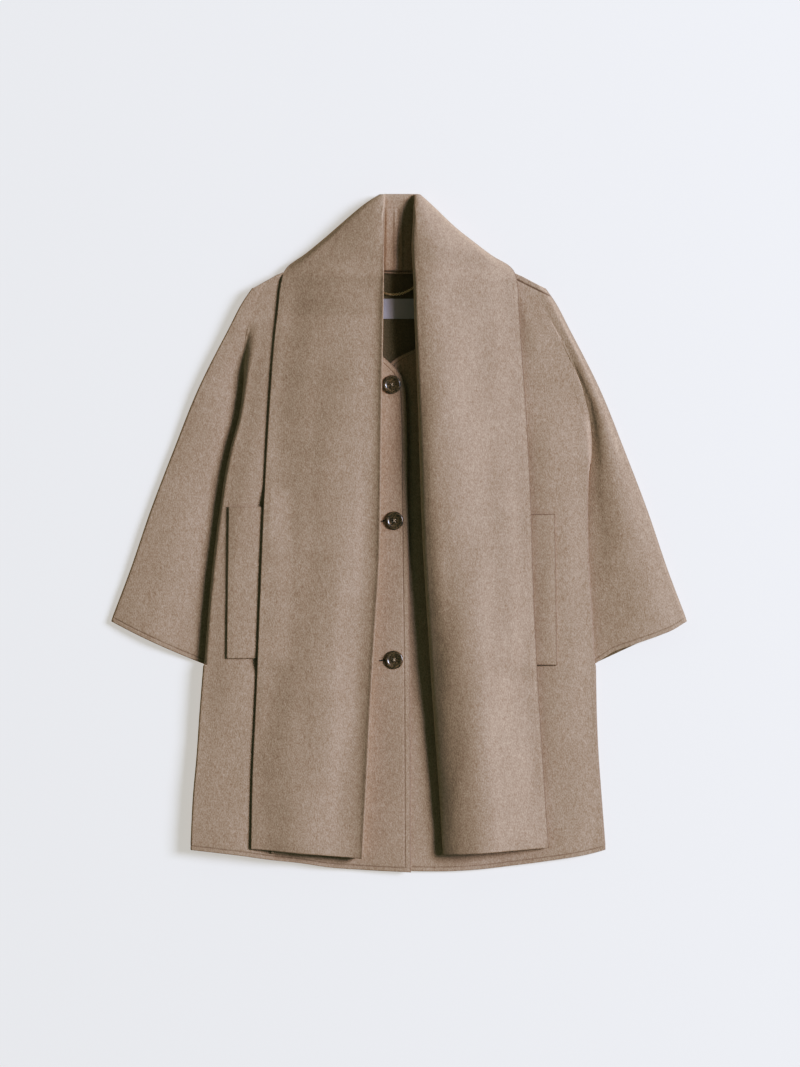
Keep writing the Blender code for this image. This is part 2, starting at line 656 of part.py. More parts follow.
def make_button(index, x, y, group, cutters):
    name = f"button_{index}"
    out = -x
    seat = front_height(RIGHT, out, y) + CLOTH / 2 + GAP
    profile = bpy.data.meshes.new(name)
    line = button_profile()
    points = [(radius, 0.0, height) for radius, height in line]
    profile.from_pydata(points, [(k, k + 1) for k in range(len(line) - 1)], [])
    button = add_object(name, profile, group, HORN)
    button.location = (x, y, seat)
    turned = button.modifiers.new("turned", "SCREW")
    turned.steps = turned.render_steps = BUTTON_STEPS
    turned.use_merge_vertices = True
    turned.merge_threshold = 0.00005
    turned.use_normal_calculate = True
    for k in range(4):
        angle = math.pi / 4 + k * math.pi / 2
        place = (x + HOLE_SPREAD * math.cos(angle), y + HOLE_SPREAD * math.sin(angle), seat)
        bpy.ops.mesh.primitive_cylinder_add(
            vertices=10, radius=HOLE_RADIUS, depth=4 * BUTTON_HEIGHT, location=place)
        drill = bpy.context.object
        drill.name = f"{name}_drill_{k + 1}"
        for owner in list(drill.users_collection):
            owner.objects.unlink(drill)
        cutters.objects.link(drill)
        drill.hide_render = True
        drill.display_type = "WIRE"
        hole = button.modifiers.new(f"hole {k + 1}", "BOOLEAN")
        hole.object = drill
        hole.operation = "DIFFERENCE"


def make_label(group):
    length, width, thick = LABEL_SIZE
    bottom = CLOTH + GAP
    corners = [(-1, -1), (1, -1), (1, 1), (-1, 1)]
    outline = [(sx * length / 2, LABEL_Y + sy * width / 2) for sx, sy in corners]
    plate("neck_label", outline, bottom, bottom + thick, group, SATIN)


def make_chain(group):
    curve = bpy.data.curves.new("hanger_chain", "CURVE")
    curve.dimensions = "3D"
    curve.bevel_depth = CHAIN_RADIUS
    curve.bevel_resolution = 2
    curve.use_fill_caps = True
    spline = curve.splines.new("POLY")
    spline.points.add(CHAIN_POINTS - 1)
    x_low, y_low = CHAIN_MIDDLE
    for k, point in enumerate(spline.points):
        share = 2 * k / (CHAIN_POINTS - 1) - 1
        rise = CHAIN_RISE * share ** 2
        point.co = (x_low + CHAIN_HALF * share, y_low + rise, CLOTH + GAP + CHAIN_RADIUS, 1.0)
    add_object("hanger_chain", curve, group, BRASS)


def make_cape():
    clear_scene()
    cape, cutters = collection(GARMENT), collection("cutters")
    make_back(cape)
    for side in (RIGHT, LEFT):
        make_front(side, cape)
        make_welt(side, cape)
    make_scarf(RIGHT, SCARF_RIGHT, cape, cutters)
    make_scarf(LEFT, SCARF_LEFT, cape, cutters)
    make_collar_back(cape)
    make_collar_fold(cape)
    for index, (x, y) in enumerate(BUTTONS, 1):
        make_button(index, x, y, cape, cutters)
    make_label(cape)
    make_chain(cape)


make_cape()
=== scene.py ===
import math

import bmesh
import bpy
import numpy as np
from mathutils import Matrix


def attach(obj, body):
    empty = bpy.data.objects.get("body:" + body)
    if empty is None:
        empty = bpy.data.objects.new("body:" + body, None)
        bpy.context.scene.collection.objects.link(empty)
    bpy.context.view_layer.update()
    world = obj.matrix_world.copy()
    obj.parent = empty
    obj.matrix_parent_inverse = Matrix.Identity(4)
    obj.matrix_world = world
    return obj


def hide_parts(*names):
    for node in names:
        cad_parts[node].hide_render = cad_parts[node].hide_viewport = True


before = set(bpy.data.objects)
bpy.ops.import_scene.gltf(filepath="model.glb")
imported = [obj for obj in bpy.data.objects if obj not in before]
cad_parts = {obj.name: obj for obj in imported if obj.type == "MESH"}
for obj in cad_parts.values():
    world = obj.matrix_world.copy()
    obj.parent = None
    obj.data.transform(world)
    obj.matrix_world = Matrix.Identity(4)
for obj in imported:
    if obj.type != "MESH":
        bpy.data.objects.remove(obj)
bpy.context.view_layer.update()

# ---------------------------------------------------------------- studio
# A pale floor seen from straight above. A long soft lamp stands low at the wearer's left; the
# rest of the light comes from all round the room, with little of it from straight overhead.
VIEW_CENTRE = (0.00136, -0.0004)
VIEW_HEIGHT = 4.0
VIEW_LENGTH = 1.45112         # of floor, from the top to the bottom of the picture
SENSOR = 36.0
FLOOR_COLOUR = (0.38, 0.38, 0.38, 1.0)
FLOOR_GLOW = (0.508, 0.480, 0.458, 1.0)   # the table is lit faintly from below
LAMP_COLOUR = (0.89, 0.975, 1.22)
LAMP_POWER = 2960.0
LAMP_DISTANCE = 14.0
LAMP_HEIGHT_DEG = 34.0
LAMP_TURN_DEG = 15.0          # towards the neck
LAMP_WIDTH_DEG = 24.0
ROOM_COLOUR = (0.86, 1.06, 0.86, 1.0)
ROOM_STRENGTH = 0.38
OVERHEAD_SHARE = 0.06         # how bright the room is straight overhead
ROOM_FADE = (0.40, 0.85)      # sine of the heights between which it dims
FLOOR_SIZE = 30.0
FLOOR_Z = -0.0002             # just under the coat
# The contrast of the exposure: dark tones sink, and the darkest turn from brown to olive.
# The channels are 3 for all colours together, 0 for red and 2 for blue.
FILM = {
    3: [(0.015, 0.007), (0.034, 0.019), (0.05, 0.030), (0.10, 0.067), (0.16, 0.128), (0.22, 0.199),
        (0.30, 0.293), (0.38, 0.38), (0.60, 0.60)],
    0: [(0.015, 0.0122), (0.04, 0.036), (0.09, 0.091), (0.16, 0.167), (0.25, 0.260),
        (0.36, 0.366), (0.50, 0.50)],
    2: [(0.02, 0.018), (0.10, 0.094), (0.20, 0.197), (0.28, 0.287), (0.42, 0.42)],
}


def put(thing):
    """Places an object in the scene."""
    bpy.context.scene.collection.objects.link(thing)
    return thing


def join(tree, *ends):
    """Links sockets in pairs: from, to, from, to."""
    for start, end in zip(ends[::2], ends[1::2]):
        tree.links.new(start, end)


def set_inputs(node, **values):
    """Sets a node's sockets, named with _ for each space, to constant values."""
    for label, value in values.items():
        node.inputs[label.replace("_", " ")].default_value = value


def new_finish(name):
    """A material, its node tree, its shader, and where a point lies on the piece."""
    made = bpy.data.materials.new(name)
    made.use_nodes = True
    tree = made.node_tree
    where = tree.nodes.new("ShaderNodeTexCoord").outputs["Object"]
    return made, tree, tree.nodes["Principled BSDF"], where


lens = bpy.data.cameras.new("camera")
lens.sensor_fit = "VERTICAL"
lens.sensor_height = SENSOR
lens.lens = SENSOR * VIEW_HEIGHT / VIEW_LENGTH
lens.clip_end = 20.0
camera = put(bpy.data.objects.new("camera", lens))
camera.location = (*VIEW_CENTRE, VIEW_HEIGHT)
bpy.context.scene.camera = camera
film = bpy.context.scene.view_settings
film.view_transform = "Standard"
film.use_curve_mapping = True
for channel, places in FILM.items():
    for place in places:
        film.curve_mapping.curves[channel].points.new(*place)
film.curve_mapping.update()

lamp_data = bpy.data.lights.new("lamp", "AREA")
lamp_data.shape = "DISK"
lamp_data.energy = LAMP_POWER
lamp_data.color = LAMP_COLOUR
lamp_data.size = 2 * LAMP_DISTANCE * math.tan(math.radians(LAMP_WIDTH_DEG / 2))
height, turned_by = math.radians(LAMP_HEIGHT_DEG), math.radians(LAMP_TURN_DEG)
lamp = put(bpy.data.objects.new("lamp", lamp_data))
lamp.location = (LAMP_DISTANCE * math.cos(height) * math.cos(turned_by),
                 LAMP_DISTANCE * math.cos(height) * math.sin(turned_by),
                 LAMP_DISTANCE * math.sin(height))
lamp.rotation_euler = (0.0, math.pi / 2 - height, turned_by)

world = bpy.data.worlds.new("room")
world.use_nodes = True
bpy.context.scene.world = world
room = world.node_tree
ways = room.nodes.new("ShaderNodeTexCoord")
split = room.nodes.new("ShaderNodeSeparateXYZ")
dim = room.nodes.new("ShaderNodeMapRange")
dim.interpolation_type = "SMOOTHSTEP"
set_inputs(dim, From_Min=ROOM_FADE[0], From_Max=ROOM_FADE[1],
           To_Min=ROOM_STRENGTH, To_Max=ROOM_STRENGTH * OVERHEAD_SHARE)
sky = room.nodes["Background"]
set_inputs(sky, Color=ROOM_COLOUR)
join(room, ways.outputs["Generated"], split.inputs[0], split.outputs["Z"], dim.inputs["Value"],
     dim.outputs["Result"], sky.inputs["Strength"])

bpy.ops.mesh.primitive_plane_add(size=FLOOR_SIZE, location=(0.0, 0.0, FLOOR_Z))
floor = bpy.context.object
floor.name = "floor"
paint, _, shader, _ = new_finish("pale_floor")
set_inputs(shader, Base_Color=FLOOR_COLOUR, Roughness=0.95, Specular_IOR_Level=0.0,
           Emission_Color=FLOOR_GLOW, Emission_Strength=1.0)
floor.data.materials.append(paint)

# ---------------------------------------------------------------- the cloth, and the back
# The whole coat is cut from one double-faced wool: two fine melange layers held together, with a
# short brushed nap. The back is one cut with the backs of both sleeves and lies on the floor.
CLOTH = 0.0026
GAP = 0.0004
WOOL_DARK = (0.235, 0.150, 0.094, 1.0)
WOOL_LIGHT = (0.545, 0.400, 0.285, 1.0)
FIBRE = 0.0014                # length of a speck of the melange
STREAK = 0.55                 # specks are longer along the coat
MOTTLE = 0.045                # size of the soft clouds in its colour
NAP_FIBRE = 0.0012
NAP_DEPTH = 0.0005
DARKEST_PAINTED_SHADE = 0.22                # share of the dark colour used for the darkest painted shade in creases, seams and at rims
NECK_SHADE_TONE = (0.45, 0.47, 0.40)   # painted shade: the whole back is coloured darker and greener, for the shaded hollow of the neck


def effect(name, ins, outs):
    """An empty shader group with the named sockets; each is (name, kind, value)."""
    tree = bpy.data.node_groups.new(name, "ShaderNodeTree")
    for label, kind, value in ins:
        made = tree.interface.new_socket(label, in_out="INPUT", socket_type=f"NodeSocket{kind}")
        if value is not None:
            made.default_value = value
    for label, kind in outs:
        tree.interface.new_socket(label, in_out="OUTPUT", socket_type=f"NodeSocket{kind}")
    return tree, tree.nodes.new("NodeGroupInput"), tree.nodes.new("NodeGroupOutput")


def feed(tree, value, socket):
    """Sets a socket to a number, or links it to another node's output."""
    if isinstance(value, (int, float)):
        socket.default_value = value
    else:
        tree.links.new(value, socket)


def math_node(tree, job, *values):
    made = tree.nodes.new("ShaderNodeMath")
    made.operation = job
    for socket, value in zip(made.inputs, values):
        feed(tree, value, socket)
    return made.outputs[0]


def noise_node(tree, where, scale, detail):
    made = tree.nodes.new("ShaderNodeTexNoise")
    for label, value in (("Vector", where), ("Scale", scale), ("Detail", detail)):
        feed(tree, value, made.inputs[label])
    return made.outputs["Fac"]


def stretched(tree, where, streak):
    """Object coordinates squeezed along Y, so that a pattern on them runs long."""
    squeeze = tree.nodes.new("ShaderNodeCombineXYZ")
    set_inputs(squeeze, X=1.0, Z=1.0)
    tree.links.new(streak, squeeze.inputs["Y"])
    scaled = tree.nodes.new("ShaderNodeVectorMath")
    scaled.operation = "MULTIPLY"
    join(tree, where, scaled.inputs[0], squeeze.outputs[0], scaled.inputs[1])
    return scaled.outputs[0]


melange, inside, outside = effect(
    "melange", [("Where", "Vector", None), ("Speck", "Float", FIBRE), ("Streak", "Float", STREAK),
                ("Cloud", "Float", MOTTLE)], [("Shade", "Float")])
along = stretched(melange, inside.outputs["Where"], inside.outputs["Streak"])
speck = noise_node(melange, along, math_node(melange, "DIVIDE", 1.0, inside.outputs["Speck"]), 2.0)
tuft = noise_node(melange, along, math_node(melange, "DIVIDE", 0.3, inside.outputs["Speck"]), 1.0)
cloud = noise_node(melange, inside.outputs["Where"],
                   math_node(melange, "DIVIDE", 1.0, inside.outputs["Cloud"]), 2.0)
shade = math_node(melange, "MULTIPLY_ADD", speck, 1.15, -0.35)
shade = math_node(melange, "ADD", shade, math_node(melange, "MULTIPLY", tuft, 0.35))
shade = math_node(melange, "ADD", shade, math_node(melange, "MULTIPLY", cloud, 0.16))
join(melange, math_node(melange, "ADD", shade, 0.01), outside.inputs["Shade"])

nap, inside, outside = effect(
    "nap", [("Where", "Vector", None), ("Fibre", "Float", NAP_FIBRE), ("Streak", "Float", STREAK)],
    [("Height", "Float")])
along = stretched(nap, inside.outputs["Where"], inside.outputs["Streak"])
fine = noise_node(nap, along, math_node(nap, "DIVIDE", 1.0, inside.outputs["Fibre"]), 3.0)
soft = noise_node(nap, along, math_node(nap, "DIVIDE", 0.22, inside.outputs["Fibre"]), 2.0)
join(nap, math_node(nap, "ADD", fine, soft), outside.inputs["Height"])


def placed(tree, group, where):
    made = tree.nodes.new("ShaderNodeGroup")
    made.node_tree = group
    tree.links.new(where, made.inputs["Where"])
    return made


def wool(name, tone=(1.0, 1.0, 1.0)):
    """The coat's cloth; tone makes a piece lighter or darker as painted light or painted shade, and a
    mesh attribute on the piece mixes in painted shade.
    """
    made, tree, shader, where = new_finish(name)
    mix, painted_shade_mix = tree.nodes.new("ShaderNodeMix"), tree.nodes.new("ShaderNodeMix")
    mix.data_type = painted_shade_mix.data_type = "RGBA"
    set_inputs(mix, A=(*np.multiply(WOOL_DARK[:3], tone), 1.0),
               B=(*np.multiply(WOOL_LIGHT[:3], tone), 1.0))
    # painted shade: where the mesh attribute is set, the melange colour is mixed towards a dark share
    # of itself
    set_inputs(painted_shade_mix, B=(*np.multiply(WOOL_DARK[:3], DARKEST_PAINTED_SHADE), 1.0))
    line = tree.nodes.new("ShaderNodeAttribute")
    line.attribute_name = "dent_and_painted_shade"
    bump = tree.nodes.new("ShaderNodeBump")
    set_inputs(bump, Distance=NAP_DEPTH, Strength=0.6)
    join(tree, placed(tree, melange, where).outputs["Shade"], mix.inputs["Factor"],
         mix.outputs["Result"], painted_shade_mix.inputs["A"], line.outputs["Fac"], painted_shade_mix.inputs["Factor"],
         painted_shade_mix.outputs["Result"], shader.inputs["Base Color"],
         placed(tree, nap, where).outputs["Height"], bump.inputs["Height"],
         bump.outputs["Normal"], shader.inputs["Normal"])
    set_inputs(shader, Roughness=0.95, Specular_IOR_Level=0.15, Sheen_Weight=0.12,
               Sheen_Roughness=0.5, Sheen_Tint=(1.0, 0.93, 0.86, 1.0))
    return made


COAT_WOOL = wool("double_faced_wool")


def smooth(places, values, at):
    """Values at rising places, read between them along a smooth curve."""
    places, values = np.asarray(places, float), np.asarray(values, float)
    at = np.clip(np.asarray(at, float), places[0], places[-1])
    wide = (-1,) + (1,) * (values.ndim - 1)
    step = np.diff(places)
    rise = np.diff(values, axis=0) / step.reshape(wide)
    before, after = step[:-1].reshape(wide), step[1:].reshape(wide)
    slope = np.concatenate([rise[:1], (rise[:-1] * after + rise[1:] * before) / (before + after),
                            rise[-1:]])
    k = np.clip(np.searchsorted(places, at, side="right") - 1, 0, len(step) - 1)
    more = at.shape + (1,) * (values.ndim - 1)
    t = ((at - places[k]) / step[k]).reshape(more)
    length = step[k].reshape(more)
    keep = (1 + 2 * t) * (1 - t) ** 2 * values[k] + t * t * (3 - 2 * t) * values[k + 1]
    return keep + (t * (1 - t) ** 2 * slope[k] - t * t * (1 - t) * slope[k + 1]) * length


def relief(rows, columns, table, v, u):
    """A height from a table, smooth in both directions."""
    across = smooth(columns, np.eye(len(columns)), u)
    return (smooth(rows, table, v) * across).sum(-1)


def ease(t):
    t = np.clip(t, 0.0, 1.0)
    return t * t * (3 - 2 * t)


def mix_to(a, b, t):
    return a + (b - a) * t


# waves of the cloth: height, radians for each metre of x and of y, where it starts
RIPPLES = [(0.00022, 61, 23, 0.7), (0.00020, -37, 71, 2.1), (0.00016, 97, -31, 4.0),
           (0.00012, 20, 128, 1.1)]


def ripple(x, y):
    """The faint unevenness of cloth that has been laid out and smoothed by hand."""
    return sum(rise * np.sin(per_x * x + per_y * y + start)
               for rise, per_x, per_y, start in RIPPLES)


RIM = np.array([0.0, 0.0002, 0.0006, 0.0012, 0.0020, 0.0030])
SEWN = 0.0080                 # from an edge to the pressed line of its hidden sewing
HEM_SEWN = 0.0058             # the same at hem and cuffs
SEWN_DEPTH = 0.00045
SEWN_HALF = 0.0008
SEWN_LINE_SHADE = 0.45           # painted shade along the sewn line inside an edge, beside its real shallow dent
DENT_SHADE = 0.75              # painted shade in a dented seam
LINE_CLEAR = 0.004            # a pressed line fades out this near to another edge
RIM_SOFT = 0.0013             # how far in from an edge the painted shade at the rim reaches
EDGE_THIN = 0.72              # share of the thickness left at a bagged-out edge
EDGE_THICK_FROM = 0.011       # how far in the cloth has its whole thickness again
HEM = np.concatenate([RIM, [0.0040, 0.0046, 0.0051, 0.0055, 0.0059, 0.0063, 0.0068, 0.0076,
                            0.0090, 0.0120]])
EDGE = np.concatenate([RIM, [0.0045, 0.0058, 0.0066, 0.0072, 0.0077, 0.0081, 0.0086, 0.0093,
                             0.0103, 0.0120]])


def spread(length, near, far, count):
    """Places along a length: given distances from either end, and evenly between them."""
    middle = np.linspace(near[-1], length - far[-1], count + 2)[1:-1]
    return np.concatenate([near, middle, length - far[::-1]])


def travelled(points, axis):
    gone = np.linalg.norm(np.diff(points, axis=axis), axis=2)
    pad = [(0, 0), (0, 0)]
    pad[axis] = (1, 0)
    return np.pad(np.cumsum(gone, axis=axis), pad)


def shell(name, points, material, real=None, sewn=None, dent=None, thin=None, shade=None,
          wall=CLOTH):
    """A cloth wall round a grid of points that lie in the middle of its thickness.

    real says which points of the grid exist; sewn names the bagged-out sides, first or last
    row or column, with how clearly a sewn line shows inside, as a shallow dent with painted
    shade, and how much painted shade darkens the rim. dent deepens the outer face and paints
    shade in it, thin is the share of the thickness left where the cloth is creased, and shade is
    further painted shade. All the painted shade goes to the material as a mesh attribute.
    """
    count_r, count_c = points.shape[:2]
    real = np.ones((count_r, count_c), bool) if real is None else real
    filled = points.copy()
    for r in range(1, count_r):
        gone = ~real[r]
        filled[r, gone] = 2 * filled[r - 1, gone] - filled[max(r - 2, 0), gone]
    along, across = np.gradient(filled, axis=0), np.gradient(filled, axis=1)
    normal = np.cross(across, along)
    normal /= np.maximum(np.linalg.norm(normal, axis=2, keepdims=True), 1e-12)
    inner_z = np.where(real, filled[..., 2], -1.0)[2:-2, 2:-2]
    highest = np.unravel_index(inner_z.argmax(), inner_z.shape)
    normal *= np.sign(normal[highest[0] + 2, highest[1] + 2, 2])
    quad = real[:-1, :-1] & real[1:, :-1] & real[:-1, 1:] & real[1:, 1:]
    touch = np.pad(quad, 1)
    whole = touch[:-1, :-1] & touch[1:, :-1] & touch[:-1, 1:] & touch[1:, 1:]
    down, over = travelled(filled, 0), travelled(filled, 1)
    last_r = np.where(real, np.arange(count_r)[:, None], 0).max(0)
    last_c = np.where(real, np.arange(count_c)[None, :], 0).max(1)
    sides = {
        "first row": down,
        "last row": down[last_r, np.arange(count_c)][None, :] - down,
        "first column": over,
        "last column": over[np.arange(count_r), last_c][:, None] - over,
    }
    near = np.minimum.reduce(list(sides.values()))
    half = wall / 2
    rounded = np.sqrt(np.clip(1 - (1 - np.clip(near / half, 0, 1)) ** 2, 0, 1))
    half_here = half * (1.0 if thin is None else thin) * rounded
    dent_and_painted_shade, mark = np.zeros_like(near), np.zeros_like(near)
    for side, (clearly, rim_shade) in (sewn or {}).items():
        inset = SEWN if side.endswith("column") else HEM_SEWN
        line = clearly * np.exp(-((sides[side] - inset) / SEWN_HALF) ** 2)
        others = np.minimum.reduce([d for key, d in sides.items() if key != side])
        clear = ease((others - LINE_CLEAR) / LINE_CLEAR)
        dent_and_painted_shade = np.maximum(dent_and_painted_shade, SEWN_DEPTH * line * clear)
        # painted shade along the sewn line and at the rim
        mark = np.maximum(mark, SEWN_LINE_SHADE * line * clear)
        mark = np.maximum(mark, rim_shade * np.exp(-(sides[side] / RIM_SOFT) ** 2))
        half_here = half_here * mix_to(EDGE_THIN, 1.0, ease(sides[side] / EDGE_THICK_FROM))
    if dent is not None:
        dent_and_painted_shade, mark = dent_and_painted_shade + SEWN_DEPTH * dent, np.maximum(mark, DENT_SHADE * dent)
    if shade is not None:
        mark = np.maximum(mark, shade)
    upper = points + normal * (half_here - dent_and_painted_shade)[..., None]
    lower = points - normal * half_here[..., None]
    number = -np.ones((count_r, count_c), int)
    number[real] = np.arange(real.sum())
    below = number.copy()
    inner = real & whole
    below[inner] = real.sum() + np.arange(inner.sum())
    places = np.concatenate([np.where(whole[..., None], upper, points)[real], lower[inner]])
    r, c = np.nonzero(quad)
    top = np.stack([number[r, c], number[r, c + 1], number[r + 1, c + 1], number[r + 1, c]], 1)
    under = np.stack([below[r, c], below[r + 1, c], below[r + 1, c + 1], below[r, c + 1]], 1)
    mesh = bpy.data.meshes.new(name)
    mesh.from_pydata(places.tolist(), [], np.concatenate([top, under]).tolist())
    # the painted shade is stored as the mesh attribute that the wool material reads
    marks = np.concatenate([np.where(whole, mark, 0.0)[real], np.zeros(inner.sum())])
    dent_and_painted_shade = mesh.attributes.new("dent_and_painted_shade", "FLOAT", "POINT")
    dent_and_painted_shade.data.foreach_set("value", marks.astype(np.float32))
    return finished(name, mesh, material)


def finished(name, mesh, material):
    """Closes a mesh's doubled points, turns it face out and makes it a piece on the body."""
    work = bmesh.new()
    work.from_mesh(mesh)
    bmesh.ops.remove_doubles(work, verts=work.verts, dist=1e-7)
    if work.calc_volume(signed=True) < 0:
        bmesh.ops.reverse_faces(work, faces=work.faces)
    work.to_mesh(mesh)
    work.free()
    mesh.shade_smooth()
    mesh.materials.append(material)
    piece = put(bpy.data.objects.new(name, mesh))
    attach(piece, "root")
    return piece


OVERARM = np.array([(0.1985, 0.3318), (0.2090, 0.3170), (0.231, 0.276), (0.272, 0.195),
                    (0.305, 0.113), (0.336, 0.032), (0.364, -0.050), (0.3905, -0.120)])
NECK_POINT = (0.086, 0.385)
NECK_BACK_DROP = 0.030
SIDE_SEAMS = {
    "right": np.array([(0.264, -0.178), (0.2695, -0.247), (0.2732, -0.302), (0.278, -0.356),
                       (0.2816, -0.4292)]),
    "left": np.array([(0.266, -0.178), (0.2675, -0.247), (0.270, -0.302), (0.274, -0.356),
                      (0.2798, -0.4303)]),
}
HEM_MIDDLE = -0.4603
BACK_INSET = 0.0026           # how far in it stays under the fronts all round
BACK_LEVEL = (-0.428, 0.300)  # its rows are level between these heights
BACK_HEM_FROM = -0.300        # below this they bend down to follow the hem
BACK_HEM = (0.0095, 0.0265)   # its hem above the middle of the fronts' hem, and more at a corner


def out_at(spots, y):
    """How far out a line of (out, y) spots, listed from the neck down, lies at height y."""
    return smooth(-spots[:, 1], spots[:, 0], -np.asarray(y, float))


def neck_seam(x):
    """Height of the back's neckline and shoulders at x, where the collar is sewn on."""
    out = np.abs(x)
    curved = NECK_POINT[1] - NECK_BACK_DROP * np.sqrt(np.clip(1 - (out / NECK_POINT[0]) ** 2, 0, 1))
    share = (out - NECK_POINT[0]) / (OVERARM[0, 0] - NECK_POINT[0])
    return np.where(out < NECK_POINT[0], curved, mix_to(NECK_POINT[1], OVERARM[0, 1], share))


def back_reach(side, y):
    """Half width of the back at height y: sleeve, cuff, then side seam."""
    seam = SIDE_SEAMS[side]
    arm = out_at(OVERARM, y)
    cuff = mix_to(seam[0, 0], OVERARM[-1, 0], (y - seam[0, 1]) / (OVERARM[-1, 1] - seam[0, 1]))
    body = out_at(seam, y)
    return np.where(y > OVERARM[-1, 1], arm, np.where(y > seam[0, 1], cuff, body)) - BACK_INSET


lowest, highest = BACK_LEVEL
level_y = np.concatenate([lowest + spread(0.248, RIM, RIM, 26), np.linspace(-0.1795, -0.119, 16),
                          np.linspace(-0.11, highest, 40)])
to_side = np.array([0.985, 0.995, 0.998, 0.9992, 1])
share = np.concatenate([-to_side[::-1], np.linspace(-0.97, 0.97, 91), to_side])
rows = []
for y in level_y:
    reach_r, reach_l = back_reach("right", np.array(y)), back_reach("left", np.array(y))
    x = np.where(share < 0, share * reach_r, share * reach_l)
    sag = HEM_MIDDLE + BACK_HEM[0] + BACK_HEM[1] * np.abs(share) ** 2 - lowest
    sag = sag * ease((BACK_HEM_FROM - y) / (BACK_HEM_FROM - lowest))
    rows.append(np.stack([x, y + sag, np.full_like(x, CLOTH / 2)], 1))
top_reach = back_reach("right", np.array(highest))
for t in np.concatenate([np.linspace(0.06, 0.90, 14), [0.94, 0.965, 0.985, 1.0]]):
    x = share * mix_to(top_reach, OVERARM[0, 0] - BACK_INSET, t)
    y = mix_to(highest, neck_seam(x) - 0.0005, t)
    rows.append(np.stack([x, y, np.full_like(x, CLOTH / 2)], 1))
# the back's wool is tinted darker and greener as painted shade for the neck hollow
back = shell("back_cloth", np.array(rows), wool("wool_back_painted_shade", NECK_SHADE_TONE))
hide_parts("back")

# ---------------------------------------------------------------- fronts
# Each front is one cut with the front of its sleeve, laid back along the arm in a deep loose
# fold. All edges are bagged out and hand closed, which leaves a sewn line just inside them,
# shown as a shallow dent with painted shade; rims and the left arm fold get painted shade too.
LAYER = CLOTH + GAP
SLEEVE_MID = CLOTH / 2 + LAYER
FOLD_SHADE = {"right": 0.0, "left": 0.5}    # painted shade on the arm fold and on the rolled edges of side and overarm; none on the right
